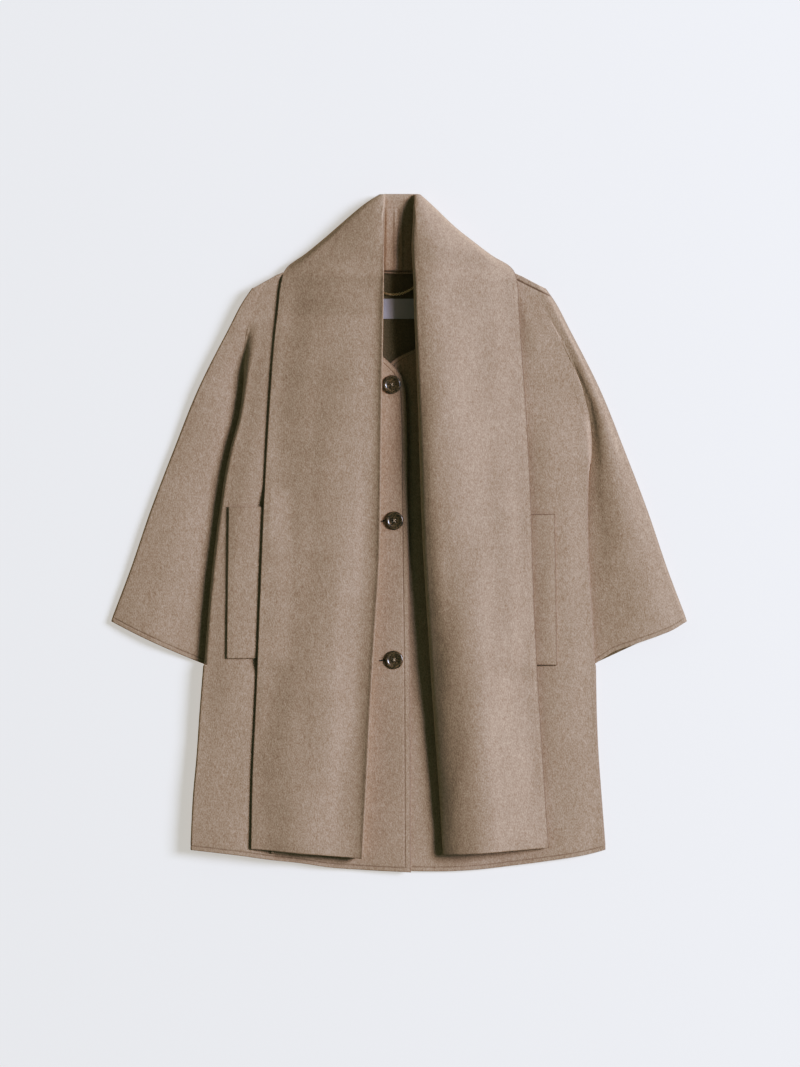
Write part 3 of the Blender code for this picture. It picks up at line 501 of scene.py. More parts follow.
# painted light: the left front, on the lamp's side, is coloured 5% lighter than the right
FRONT_PAINTED_LIGHT = {"right": (1.0, 1.0, 1.0), "left": (1.05, 1.05, 1.05)}
HAIRPIN = 0.0015              # radius of the wall's middle where the underlay turns out again
UNDERLAY = 0.0003             # length of the cloth between the fold's two bends where it starts
FOLD_DEPTH = 0.034            # and what is added to it down to the cuff
FOOT = 0.0019                 # middle of the wall where a side comes down on the back
ARM_LENGTH = 0.485            # of a front from shoulder to cuff, and on to the hem
SKIRT_LENGTH = 0.275
FOLD_POINTS = 22              # points of a row round the arm fold or down the side
SLEEVE_POINTS = 74            # and on over the sleeve
CUFF_INNER_Y = -0.165
SHOULDER_SEAM = ((0.1618, 0.3430), (0.2054, 0.3212))
SHOULDER_SEAM_HALF = 0.0011
FRONTS = {
    "right": dict(
        sign=-1,
        # the front edge and the arm fold, as (out, y) from the neck down
        edge=np.array([NECK_POINT, (0.064, 0.328), (0.038, 0.270), (0.0205, 0.2385),
                       (0.007, 0.2265), (-0.0035, 0.214), (-0.009, 0.197), (-0.011, 0.168),
                       (-0.0125, 0.045), (-0.0155, -0.230), (-0.0163, HEM_MIDDLE)]),
        fold=np.array([(0.168, 0.349), (0.187, 0.300), (0.199, 0.252), (0.208, 0.208),
                       (0.218, 0.154), (0.229, 0.113), (0.245, 0.018), (0.256, -0.077),
                       (0.264, -0.178)]),
        inner=SLEEVE_MID + 0.0012,   # height of the wall's middle beside its edge
        lap=0.0032,               # the edge itself lies raised on the other front's edge
        loop=0.0042,              # radius of the wall's middle at the body's edge
        rounded=0.0014,           # and at its side below the sleeve
        roll=0.0016,              # of the sleeve's upper edge
        starts=0.288, full=0.150,   # the arm fold starts and is whole at these heights
        rise=(0.15, 0.85),        # the body rises between these shares of its width
        proud=[0.0004, 0.0020, 0.0024, 0.0022, 0.0010, 0.0006],   # its swell beside the fold
        # middle of the sleeve's wall in mm, from the fold out to the overarm
        sleeve=[[13.0, 13.0, 13.0, 13.0, 13.0, 13.0], [11.0, 11.2, 11.6, 12.0, 12.0, 12.0],
                [6.0, 6.6, 8.2, 9.6, 10.2, 9.8], [4.3, 5.1, 6.9, 8.1, 8.3, 7.2],
                [4.3, 5.2, 7.2, 8.9, 8.9, 7.8], [4.3, 5.4, 7.7, 9.1, 8.6, 6.2]],
        side=[15.2, 16.0, 17.0],   # height of the body's side below the cuff, in mm
        cuff_bow=[0, -1.4, -2.2, -2.0, -1.0, 0],   # of the cuff's edge, from the body outwards
        # how far the hem hangs below a straight line, at shares of its width
        hem_sag=([0, 0.2, 0.37, 0.5, 0.65, 0.78, 1.0],
                 [0, 0.0034, 0.0050, 0.0030, 0.0024, 0.0008, 0]),
    ),
    "left": dict(
        sign=1,
        edge=np.array([NECK_POINT, (0.065, 0.324), (0.042, 0.276), (0.019, 0.249), (0.0075, 0.244),
                       (-0.0095, 0.234), (-0.019, 0.2205), (-0.0245, 0.1975), (-0.027, 0.168),
                       (-0.0265, HEM_MIDDLE)]),
        fold=np.array([(0.168, 0.348), (0.193, 0.300), (0.217, 0.252), (0.238, 0.203),
                       (0.2525, 0.154), (0.257, 0.113), (0.2565, 0.045), (0.258, -0.036),
                       (0.263, -0.118), (0.266, -0.178)]),
        inner=SLEEVE_MID,
        lap=0.0,
        loop=0.0018,
        rounded=0.0022,
        roll=0.0036,
        starts=0.170, full=0.020,
        rise=(0.52, 0.84),
        proud=[0.0, 0.0006, 0.0016, 0.0018, 0.0012, 0.0008],
        sleeve=[[9.6, 9.6, 9.6, 9.4, 8.8, 7.6], [9.4, 9.4, 9.7, 10.1, 10.2, 9.0],
                [6.8, 7.9, 9.6, 10.6, 10.6, 9.4], [4.8, 7.6, 11.0, 13.0, 13.0, 10.8],
                [4.9, 7.9, 11.5, 13.8, 13.6, 11.0], [4.9, 7.6, 10.6, 12.9, 13.2, 11.0]],
        side=[8.0, 6.4, 5.6],
        cuff_bow=[0, 5.2, 2.4, -1.0, -2.2, 0],
        hem_sag=([0, 0.07, 0.14, 0.30, 0.45, 0.60, 0.74, 0.94, 1.0],
                 [-0.0030, -0.0004, 0.0028, 0.0080, 0.0098, 0.0088, 0.0074, 0.0030, 0]),
    ),
}
SLEEVE_ROWS = [0.0, 0.15, 0.30, 0.50, 0.75, 1.0]
SLEEVE_COLUMNS = [0.0, 0.2, 0.4, 0.6, 0.8, 1.0]
CUFF_COLUMNS = [0.0, 0.2, 0.45, 0.7, 0.88, 1.0]


def bend(turn, radius):
    """Radius of one bend of the arm fold: of one length until it stands upright, then closing."""
    return np.minimum(math.pi * radius / turn, 2 * radius / (1 - np.cos(turn)))


def fold_turn(front, y):
    """How far the arm fold is turned at height y: half a turn where it is whole."""
    return math.pi * np.clip((front["starts"] - y) / (front["starts"] - front["full"]), 0.002, 1.0)


def fold_drop(front, y):
    """How far the body's edge stands above the sleeve along the fold."""
    turn = fold_turn(front, y)
    both = bend(turn, front["loop"]) + bend(turn, HAIRPIN)
    return both * (1 - np.cos(turn)) + UNDERLAY * np.sin(turn)


def row_ends(front, v):
    """Both ends of row v of a front's body: 0 at the shoulder, 1 at the cuff, 2 at the hem."""
    edge, fold, seam = front["edge"], front["fold"], front["seam"]
    upper = v <= 1
    y_in = np.where(upper, mix_to(edge[0, 1], CUFF_INNER_Y, v),
                    mix_to(CUFF_INNER_Y, HEM_MIDDLE, v - 1))
    y_out = np.where(upper, mix_to(fold[0, 1], fold[-1, 1], v),
                     mix_to(seam[0, 1], seam[-1, 1], v - 1))
    out = np.where(upper, out_at(fold, y_out), out_at(seam, y_out))
    return out_at(edge, y_in), y_in, out, y_out


def body_middle(front, v, u):
    """Height of the middle of a front's wall, from its edge (u 0) to the fold or side (u 1)."""
    out_in, _, out, y_out = row_ends(front, v)
    start = mix_to(SLEEVE_MID, front["inner"], ease(v / 0.25)) + 0.0014 * ease(1 - v / 0.3)
    beside = u * (out - out_in)          # metres from the front edge
    start = start + front["lap"] * (ease(v / 0.2) * (1 - ease((beside - 0.004) / 0.075)))
    loft = smooth(SLEEVE_ROWS, np.array(front["sleeve"])[:, 0] / 1000, np.minimum(v, 1.0))
    fold = loft + fold_drop(front, y_out)
    at_cuff = front["sleeve"][-1][0] / 1000 + fold_drop(front, front["fold"][-1, 1])
    side = smooth([1.0, 1.35, 1.7, 2.0], [at_cuff, *np.array(front["side"]) / 1000], v)
    end = np.where(v <= 1, fold, side)
    settle = ease((u - front["rise"][0]) / (front["rise"][1] - front["rise"][0]))
    from_side = (1 - u) * (out - out_in)
    proud = smooth([0, 0.2, 0.5, 1, 1.4, 2], front["proud"], v)
    proud = proud * ease(from_side / 0.036) * ease((0.125 - from_side) / 0.080)
    return mix_to(start, end, settle) + proud


def front_place(front, v, u):
    out_in, y_in, out, y_out = row_ends(front, v)
    sag = smooth(*front["hem_sag"], u) * ease(v - 1)
    x, y = mix_to(out_in, out, u), mix_to(y_in, y_out, u) - sag
    return x, y, body_middle(front, v, u) + ripple(front["sign"] * x, y)


def front_top(front, out, y):
    """Height of a front's upper face at a place, found by closing in on its row and column."""
    edge, fold, seam = front["edge"], front["fold"], front["seam"]
    u = np.full(np.shape(out), 0.5)
    v = np.ones(np.shape(out))
    for _ in range(8):
        cuff = mix_to(CUFF_INNER_Y, fold[-1, 1], u)
        top = mix_to(edge[0, 1], fold[0, 1], u)
        hem = mix_to(HEM_MIDDLE, seam[-1, 1], u) - 0.02 * u * (1 - u)
        v = np.where(y > cuff, (top - y) / (top - cuff), 1 + (cuff - y) / (cuff - hem))
        v = np.clip(v, 0.0, 2.0)
        out_in, _, reach, _ = row_ends(front, v)
        u = np.clip((out - out_in) / (reach - out_in), 0.0, 1.0)
    return front_place(front, v, u)[2] + CLOTH / 2


def side_wall(front, start, drop):
    """Steps out and down at the body's side: flat, round its edge, then down to the back."""
    rounded, angle = front["rounded"], np.linspace(0, math.pi / 2, 9)[1:]
    flat = start - rounded
    out = np.concatenate([[flat / 2, flat], flat + rounded * np.sin(angle), np.full(12, start)])
    down = np.concatenate([[0, 0], rounded * (1 - np.cos(angle)),
                           mix_to(rounded, drop, np.linspace(0, 1, 13)[1:])])
    return out, down


def arm_fold(front, turn, start, depth):
    """Steps out and up through the arm fold: under the body's edge, inwards, and out again."""
    wide, tight = bend(turn, front["loop"]), bend(turn, HAIRPIN)
    steps, halves = np.linspace(0, 1, 11)[1:], np.array([0.5, 1.0])
    back_turn = turn * (1 - steps)
    out, up = [np.array([-start])], [np.zeros(1)]
    for far, down in ((wide * np.sin(turn * steps), wide * (1 - np.cos(turn * steps))),
                      (depth * np.cos(turn) * halves, depth * np.sin(turn) * halves),
                      (tight * (math.sin(turn) - np.sin(back_turn)),
                       tight * (np.cos(back_turn) - math.cos(turn)))):
        out.append(out[-1][-1] + far)
        up.append(up[-1][-1] - down)
    return np.concatenate(out[1:]), np.concatenate(up[1:])


def sleeve_line(front, row, out, y_out, begin):
    """Points out along the sleeve from the fold, the last of them rolled down at the overarm."""
    arm_y = mix_to(OVERARM[0, 1], OVERARM[-1, 1], row)
    arm_out = float(out_at(OVERARM, arm_y))
    reach = math.hypot(arm_out - out, arm_y - y_out)
    outward = np.array([arm_out - out, arm_y - y_out]) / reach
    end, angle = reach - front["roll"], np.linspace(0, math.pi / 2, 14)[1:]
    spots = np.concatenate([np.linspace(begin, end, SLEEVE_POINTS - 12)[1:],
                            end + front["roll"] * np.sin(angle)])
    first = max(begin, -0.002)
    share = np.clip((spots - first) / (end - first), 0, 1)
    x, y = out + outward[0] * spots, y_out + outward[1] * spots
    bow = smooth(CUFF_COLUMNS, np.array(front["cuff_bow"]) / 1000, share)
    y = y + bow * ease((row - 0.75) / 0.25)
    z = relief(SLEEVE_ROWS, SLEEVE_COLUMNS, np.array(front["sleeve"]) / 1000,
               np.full_like(share, row), share)
    z = z + ease((share - 0.05) / 0.3) * ripple(front["sign"] * x, y)
    top = z[-len(angle) - 1]
    z[-len(angle):] = top - (top - FOOT) * (1 - np.cos(angle))
    return outward, x, y, z


def front_grid(front):
    """Rows of points from the front edge over the body, through the fold and out the sleeve.

    Also says which of them exist, because rows below the cuff end at the side, and how much
    painted shade each gets where it lies turned in, round the arm fold and the rolled edges.
    """
    cuff, hem = 1 - HEM[::-1] / ARM_LENGTH, 2 - HEM[::-1] / SKIRT_LENGTH
    v = np.concatenate([
        [0, 0.0005, 0.0015, 0.003], np.linspace(0.005, 0.032, 14),
        np.linspace(0.045, cuff[0] - 0.012, 84), cuff, [1.004, 1.010, 1.018, 1.030, 1.050],
        np.linspace(1.07, hem[0] - 0.02, 40), hem])
    rows, real, turned_in = [], [], []
    for row in v:
        row = np.array(row)
        out_in, y_in, out, y_out = row_ends(front, row)
        length = math.hypot(out - out_in, y_out - y_in)
        start = front["loop"] + CLOTH / 2
        run = spread(length, EDGE, start + np.array([0, 0.002, 0.005, 0.009]), 58)
        x, y, z = front_place(front, row, run / length)
        width = len(run) + FOLD_POINTS + SLEEVE_POINTS
        place = np.arange(width) - len(run)
        line = np.zeros((width, 3))
        if row > 1:
            far, down = side_wall(front, start, z[-1] - FOOT)
            x = np.concatenate([x, out_in + (out - out_in) / length * (run[-1] + far)])
            y = np.concatenate([y, y_in + (y_out - y_in) / length * (run[-1] + far)])
            z = np.concatenate([z, z[-1] - down])
            turned_in.append(ease(place / 5) * 0.9)
        else:
            turn = fold_turn(front, y_out)
            whole = ease((front["full"] - y_out) / (front["full"] - front["fold"][-1, 1]))
            far, up = arm_fold(front, turn, start, UNDERLAY + FOLD_DEPTH * float(whole))
            outward, arm_x, arm_y, arm_z = sleeve_line(front, row, out, y_out, far[-1])
            x = np.concatenate([x, out + outward[0] * far, arm_x])
            y = np.concatenate([y, y_out + outward[1] * far, arm_y])
            z = np.concatenate([z, z[-1] + up, arm_z])
            in_fold = ease((place + 2) / 4) * (place < FOLD_POINTS) * math.sin(turn / 2) ** 2
            turned_in.append(np.maximum(in_fold, ease((place - 82) / 5) * 0.8))
        line[:len(x)] = np.stack([front["sign"] * x, y, z], 1)
        rows.append(line)
        real.append(np.arange(width) < len(x))
    return np.array(rows), np.array(real), np.array(turned_in)


for side, front in FRONTS.items():
    front["seam"] = SIDE_SEAMS[side]
    front["wool"] = wool(f"wool_{side}", FRONT_PAINTED_LIGHT[side])
    points, real, turned_in = front_grid(front)
    (x0, y0), (x1, y1) = SHOULDER_SEAM
    beside = np.abs((points[..., 0] - x0) * (y1 - y0) - (points[..., 1] - y0) * (x1 - x0))
    beside = beside / math.hypot(x1 - x0, y1 - y0)
    ends = ease((points[..., 0] - x0 + 0.010) / 0.006) * ease((x1 + 0.001 - points[..., 0]) / 0.004)
    dent = np.exp(-(beside / SHOULDER_SEAM_HALF) ** 2) * ends * (points[..., 1] > 0.3)
    # painted shade: along the sewn line and rim of the front edge and hem, and on the left front's fold
    piece = shell(f"front_{side}_cloth", points, front["wool"], real,
                  sewn={"first column": (0.8, 0.6), "last row": (0.8, 0.1)},
                  dent=dent if side == "left" else None, shade=FOLD_SHADE[side] * turned_in)
    front["piece"] = piece
    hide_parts(f"front_{side}")

# ---------------------------------------------------------------- pocket welts
# Two upright strips of the same cloth, doubled and set on the fronts over the pocket mouths;
# their outer and end edges are turned in and sewn down, and the scarf covers their inner edges.
WELTS = {   # inner edge, outer edge at the top and at the end, height of the top and of the end
    "right": (0.179, 0.2310, 0.2335, 0.0362, -0.1697),
    "left": (0.162, 0.2115, 0.2145, 0.0262, -0.1792),
}
WELT_RIM_SHADE = {"right": 0.3, "left": 0.72}   # painted shade at their turned-in edges
WELT_CLEAR = 0.0002           # between a welt and the front under it
for side, (inner, outer_top, outer_end, y_top, y_end) in WELTS.items():
    front = FRONTS[side]
    down = spread(y_top - y_end, EDGE, EDGE, 40)
    rows = []
    for d in down:
        outer = mix_to(outer_top, outer_end, d / (y_top - y_end))
        out = inner + spread(outer - inner, RIM, EDGE, 12)
        y = np.full_like(out, y_top - d)
        z = front_top(front, out, y) + WELT_CLEAR + CLOTH / 2
        rows.append(np.stack([front["sign"] * out, y, z], 1))
    # their turned-in edges get painted shade at the rim, with no sewn line
    welt = shell(f"pocket_welt_{side}_cloth", np.array(rows), front["wool"],
                 sewn=dict.fromkeys(("first row", "last row", "last column"),
                                    (0.0, WELT_RIM_SHADE[side])))
    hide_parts(f"pocket_welt_{side}")

# ---------------------------------------------------------------- scarf collar, hanging ends
# One long strip folded double along its inner side, soft and uncreased, so that it rolls. Each
# end hangs over its front; the two free edges lie on each other along the outer side.
# where across the strip its upper face's heights are given, as shares of its width
SCARF_SHARES = [0.02, 0.06, 0.13, 0.22, 0.34, 0.46, 0.60, 0.75, 0.88, 1.0]
# each row: inner out, inner y, outer out, outer y, lower layer set back, lower layer let down,
# then the upper face across the strip, in mm above its outer edge
SCARVES = {
    "right": [
        (0.0193, 0.4590, 0.0270, 0.4590, 3, 0, 7, 8.5, 9.5, 10, 10, 9.8, 9, 7.5, 4, -2),
        (0.0194, 0.4423, 0.0503, 0.4436, 3, 0, 12, 12.7, 13, 13, 12.8, 12.2, 11.3, 10, 7.5, -2),
        (0.0195, 0.4260, 0.0762, 0.4219, 3, 0, 15.5, 15.8, 15.8, 15.5, 14.8, 13.8, 12.4, 10.8, 8.5, -2),
        (0.0197, 0.4083, 0.1020, 0.3994, 3, 0, 18, 18, 17.9, 17.4, 16.4, 15, 13.2, 11.2, 8.8, -1.5),
        (0.0200, 0.3879, 0.1278, 0.3784, 6, 0, 19.8, 19.5, 19.2, 18.6, 17.4, 15.6, 13.4, 11, 8.6, -1),
        (0.0203, 0.3634, 0.1525, 0.3600, 24, 0, 18, 17.4, 17, 16.4, 15, 13, 10.4, 7.6, 5, 0),
        (0.0204, 0.3376, 0.1605, 0.3376, 42, 0, 14.5, 13.4, 13, 12.7, 11.5, 9.4, 6.5, 4, 1.8, 0),
        (0.0208, 0.3036, 0.1646, 0.3036, 45, 0, 13.6, 12.1, 11.7, 11.6, 10.5, 8.5, 5.8, 3.5, 1.5, 0),
        (0.0218, 0.2492, 0.1700, 0.2492, 45, 0, 9.7, 8.4, 7.9, 7.8, 7.5, 6.6, 5, 3.1, 1.4, 0),
        (0.0235, 0.1540, 0.1768, 0.1540, 45, 0, 5.3, 4.1, 4.3, 5.3, 5.6, 4.7, 2.4, 0.6, 0, 0),
        (0.0245, 0.0588, 0.1822, 0.0588, 45, 0, 2.3, 1.0, 0.8, 2.4, 3.3, 2.6, 0.9, 0.1, 0, 0),
        (0.0262, -0.0364, 0.1863, -0.0364, 45, 0, 0.8, -0.5, -0.9, 0.7, 2.3, 2.5, 1.1, -0.1, 0, 0),
        (0.0328, -0.1398, 0.1904, -0.1398, 45, 0, 1.4, 0.0, -0.8, 0.7, 3, 2.3, 0.7, -0.6, -0.6, 0),
        (0.0381, -0.2268, 0.1940, -0.2268, 45, 0, 1.7, 0.3, -0.6, 0.7, 3.6, 4.3, 3, 1.6, 0.5, 0),
        (0.0435, -0.3356, 0.1990, -0.3356, 42, 1, 2.3, 0.6, -0.4, 0.1, 2.7, 3.9, 3.8, 2.2, 1.1, 0),
        (0.0492, -0.4404, 0.2006, -0.4274, 27, 4, 2.4, 1.6, 0.8, 1.2, 2.8, 3.8, 3.8, 2.8, 1.2, 0),
    ],
    "left": [
        (0.0215, 0.4590, 0.0290, 0.4590, 3, 0, 7, 8.5, 9.5, 10, 10, 9.8, 9, 7.5, 4, -2),
        (0.0196, 0.4423, 0.0503, 0.4396, 3, 0, 11.5, 12.6, 13.2, 13.4, 13.2, 12.6, 11.5, 10, 7.5, -2),
        (0.0190, 0.4260, 0.0762, 0.4151, 3, 0, 14, 15.2, 16, 16.3, 15.9, 14.9, 13.2, 11.4, 8.8, -2),
        (0.0178, 0.4083, 0.1020, 0.3947, 3, 0, 15.5, 16.9, 18, 18.4, 17.8, 16.5, 14.4, 12, 9.2, -1.5),
        (0.0170, 0.3879, 0.1265, 0.3763, 3, 0, 15.5, 17.3, 18.6, 19.2, 18.4, 16.8, 14.6, 12, 9.2, -1),
        (0.0181, 0.3634, 0.1523, 0.3600, 3, 0, 14, 15.6, 16.8, 17, 15.6, 13.4, 11, 8.6, 5.6, 0),
        (0.0196, 0.3376, 0.1609, 0.3389, 4, 0, 13, 14.2, 15, 14.8, 12.8, 10.2, 7.4, 5, 2.2, 0),
        (0.0204, 0.3036, 0.1632, 0.3036, 4, 0, 13, 14.2, 15.2, 15, 12.8, 10, 7.2, 4.8, 1.9, 0),
        (0.0226, 0.2492, 0.1667, 0.2492, 4, 0, 13.2, 14.6, 15.8, 16, 14.2, 11, 7.6, 4.8, 1.8, 0),
        (0.0262, 0.1540, 0.1733, 0.1540, 4, 0, 11.6, 14.0, 15.8, 16.1, 14.6, 11.6, 8, 4.8, 1.9, 0),
        (0.0292, 0.0588, 0.1782, 0.0588, 4, 0, 9.2, 12.0, 14.4, 14.8, 13.2, 10.4, 7.2, 4.6, 1.7, 0),
        (0.0332, -0.0364, 0.1810, -0.0364, 4, 0, 5.8, 8.4, 11, 12.2, 12.8, 11.6, 8.8, 5.2, 1.8, 0),
        (0.0398, -0.1398, 0.1850, -0.1398, 4, 0, 3.8, 6.6, 10.2, 13, 15, 15, 11.8, 6.2, 2, 0),
        (0.0454, -0.2268, 0.1901, -0.2268, 4, 0, 3.4, 6.4, 10.2, 13.4, 15.6, 15.2, 11.2, 5.6, 1.8, 0),
        (0.0534, -0.3356, 0.1972, -0.3356, 4, 0, 3.4, 6.4, 10.2, 13.6, 16, 15.4, 10.8, 5.8, 2, 0),
        (0.0594, -0.4360, 0.2033, -0.4268, 4, 0, 3, 5.5, 8.8, 11.7, 14, 13.3, 9.4, 5.2, 1.9, 0),
    ],
}
LOFT = {"right": 1.15, "left": 1.3}   # what the heights are multiplied by
SINK = 0.0027                 # how far the upper layer sinks beyond a lower one that ends early
# how strong the sewn line of its outer edge is, a dent with painted shade, and how much painted shade
# darkens the rim
SCARF_EDGE = {"right": (0.0, 0.25), "left": (0.15, 0.8)}
# Round the folded side, from the lower layer up: metres across, share of the upper layer's own
# level, share of the rise between the layers, and height above that. The right end is creased.
LOOSE_FOLD = np.array([(0.0042, 0.02, 0.0, 0.0001), (0.0018, 0.20, 0.16, 0.0),
                       (0.0013, 0.60, 0.55, 0.0), (0.0016, 0.90, 0.87, 0.0)])
TIGHT_FOLD = np.array([(0.0062, 0.10, 0.10, 0.0), (0.0036, 0.60, 0.60, 0.0),
                       (0.0013, 0.96, 1.0, -0.0020), (0.0007, 1.0, 1.0, -0.0002)])
FOLD_TO_UPPER = 0.0022        # the upper layer starts at least this far in from the fold
LIP_MOST = 0.0012             # how far the creased fold stands up over the layer beside it
CREASED_FROM = 0.470          # the crease fades in below this height
CREASE_THIN = 0.50            # share of the thickness left in the crease, this far to either side
CREASE_THIN_HALF = 0.0024
# painted shade along the crease of the right end's fold, and how far to either side it reaches
CREASE_SHADE = 0.32
CREASE_SHADE_HALF = 0.0016
SECTION_STEPS = [16, 10, 8, 6, 5, 5, 6, 7, 7, 6, 8, 9, 10, 10, 11, 11, 9, 8]
LOWER_MID = 0.00045 + CLOTH / 2
UPPER_MID = LOWER_MID + LAYER
COLLAR_TOP_Y = 0.4605
COLLAR_ROLL = 0.012           # the collar's top edge rolls over this far down its length


def welt_lift(side, out, y):
    """How much a pocket welt raises the strip that lies over its inner edge."""
    inner, _, _, y_top, y_end = WELTS[side]
    over_it = ease((y_top - y) / 0.030 + 1) * ease((y - y_end) / 0.020 + 1)
    return (LAYER + WELT_CLEAR) * (ease((out - inner + 0.040) / 0.036) * over_it)


def scarf_seat(side, out, y):
    """What the strip lies on: the front, or the collar's floor leaf behind the neck."""
    front = front_top(FRONTS[side], out, np.minimum(y, 0.36))
    return mix_to(CLOTH + GAP, front, ease((neck_seam(out) + 0.016 - y) / 0.024))


def round_fold(places, top):
    """Points of a fold between the lower layer and an upper one whose wall's middle is at top."""
    return np.column_stack([places[:, :2], mix_to(LOWER_MID, top, places[:, 2]) + places[:, 3]])


def scarf_section(sizes, loft, crease):
    """The strip's wall across it, from the lower layer's edge round the fold to the upper one's.

    Each point is (across, share of the upper face's own level, height above that level).
    """
    width = math.hypot(sizes[2] - sizes[0], sizes[3] - sizes[1])
    low_end = width - sizes[4] / 1000
    tops = sizes[6:] / 1000 * loft + UPPER_MID
    lower = [(share * low_end, 0.0, LOWER_MID) for share in (1.0, 0.62, 0.36, 0.17)]
    lower += [(max(0.075 * low_end, 0.009), 0.0, LOWER_MID)]
    lip = tops[0] + 0.0003 + 0.9 * np.clip(tops[0] - tops[1], 0, LIP_MOST)
    fold = mix_to(round_fold(LOOSE_FOLD, tops[0]), round_fold(TIGHT_FOLD, lip), crease)
    upper = [(share * width, 1.0, top) for share, top in zip(SCARF_SHARES, tops)]
    line = np.concatenate([lower, fold, upper])
    first_upper = len(lower) + len(fold)
    line[first_upper, 0] = max(line[first_upper, 0], FOLD_TO_UPPER)
    steps = np.diff(line, axis=0) * (1.0, 0.008, 1.0)
    gone = np.concatenate([[0], np.cumsum(np.linalg.norm(steps, axis=1))])
    at = np.concatenate([np.linspace(a, b, count + 1)[:-1]
                         for a, b, count in zip(gone[:-1], gone[1:], SECTION_STEPS)])
    at = at[(at > EDGE[-1] + 0.001) & (at < gone[-1] - EDGE[-1] - 0.001)]
    at = np.concatenate([EDGE, at, gone[-1] - EDGE[::-1]])
    from_crease = at - gone[first_upper - 1]
    worn = ease(np.clip(np.abs(from_crease) / CREASE_THIN_HALF, 0, 1))
    thin = 1 - crease * (1 - mix_to(CREASE_THIN, 1.0, worn))
    # painted shade along the crease
    crease_shade = CREASE_SHADE * crease * np.exp(-(from_crease / CREASE_SHADE_HALF) ** 2)
    return smooth(gone, line, at), width, low_end, thin, crease_shade


def scarf_points(side):
    """Points of one hanging end, with the thickness left and the painted shade along the crease at each
    of them.
    """
    table, sign = np.array(SCARVES[side], float), FRONTS[side]["sign"]
    near = np.array([0, 0.0003, 0.001, 0.002, 0.0035, 0.005, 0.007, 0.009, 0.012])
    sizes = smooth(np.linspace(0, 1, len(table)), table, spread(0.90, near, EDGE, 150) / 0.90)
    crease = ease((CREASED_FROM - sizes[:, 1]) / 0.04) * (side == "right")
    sections = [scarf_section(row, LOFT[side], k) for row, k in zip(sizes, crease)]
    fewest = min(len(part[0]) for part in sections)
    rows, thin, shade = [], [], []
    rim = len(EDGE)
    for row, (line, width, low_end, left_over, crease_shade) in zip(sizes, sections):
        number = np.arange(len(line))
        kept = np.concatenate([
            number[:rim], np.linspace(rim, len(line) - rim - 1, fewest - 2 * rim), number[-rim:]])
        across, level, height = (np.interp(kept, number, column) for column in line.T)
        thin.append(np.interp(kept, number, left_over))
        shade.append(np.interp(kept, number, crease_shade))
        t = across / width
        out, y = mix_to(row[0], row[2], t), mix_to(row[1], row[3], t)
        y = y - row[5] / 1000 * np.where(level < 0.01, np.clip(across / low_end, 0, 1) ** 1.5, 0.0)
        seat = scarf_seat(side, out, y)
        edge = scarf_seat(side, np.array(row[2]), np.array(row[3]))
        uneven = 1.6 * ripple(sign * out + 0.3, y) * ease(t / 0.2) * ease((1 - t) / 0.12)
        z = mix_to(seat, edge, level) + height + welt_lift(side, out, y) + level * uneven
        least = seat + mix_to(UPPER_MID, LOWER_MID, ease((across - low_end - 0.0008) / 0.0025))
        sink = SINK * ease((row[4] - 3) / 36) * ease((across - width + 0.055) / 0.045)
        z = np.where(level > 0.99, np.maximum(z - sink, least), z)
        over = np.clip((y - (COLLAR_TOP_Y - COLLAR_ROLL)) / COLLAR_ROLL, 0, 1)
        z = mix_to(seat + LOWER_MID, z, 0.12 + 0.88 * np.sqrt(1 - over ** 2))
        rows.append(np.stack([sign * out, y, z], 1))
    return np.array(rows), np.array(thin), np.array(shade)


for side in SCARVES:
    points, thin, shade = scarf_points(side)
    # painted shade at the rims of both free edges and of the bottom end
    scarf = shell(f"scarf_{side}_cloth", points, COAT_WOOL,
                  sewn={"last column": SCARF_EDGE[side], "last row": (0.0, 0.3),
                        "first column": (0.0, 0.3)}, thin=thin, shade=shade)
    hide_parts(f"scarf_{side}")

# ---------------------------------------------------------------- scarf collar, behind the neck
# The same strip goes on behind the neck. Its outer leaf lies on the floor, sewn to the back's
# neckline; at the top it rolls over and its inner leaf stands out above the hollow of the neck.
SLOPES = {side: np.array([(row[2], row[3]) for row in SCARVES[side][:6]]) for side in SCARVES}
COLLAR_HALF = 0.1495
COLLAR_FLAT = 0.0205          # half width of its level top
COLLAR_SEWN = 0.0030          # how far it reaches over the back's neckline


def collar_top(x):
    """Height of the collar's upper outline at x."""
    found = np.empty_like(x)
    for k, value in enumerate(x):
        slope = SLOPES["right" if value < 0 else "left"]
        found[k] = np.interp(abs(value), np.concatenate([[0, COLLAR_FLAT], slope[:, 0]]),
                             np.concatenate([[COLLAR_TOP_Y, COLLAR_TOP_Y], slope[:, 1]]))
    return found


x = np.concatenate([RIM - COLLAR_HALF, np.linspace(-0.145, 0.145, 80), COLLAR_HALF - RIM[::-1]])
low, high = neck_seam(x) - COLLAR_SEWN, collar_top(x) - 0.0012
rows = []
for t in np.concatenate([[0, 0.004, 0.01, 0.02, 0.04], np.linspace(0.08, 0.92, 16),
                         [0.96, 0.98, 0.99, 0.996, 1.0]]):
    over_neckline = 1 - ease((high - low) * t / 0.012)
    rows.append(np.stack([x, mix_to(low, high, t), CLOTH / 2 + LAYER * over_neckline], 1))
collar = shell("collar_back_cloth", np.array(rows), COAT_WOOL)
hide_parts("collar_back")

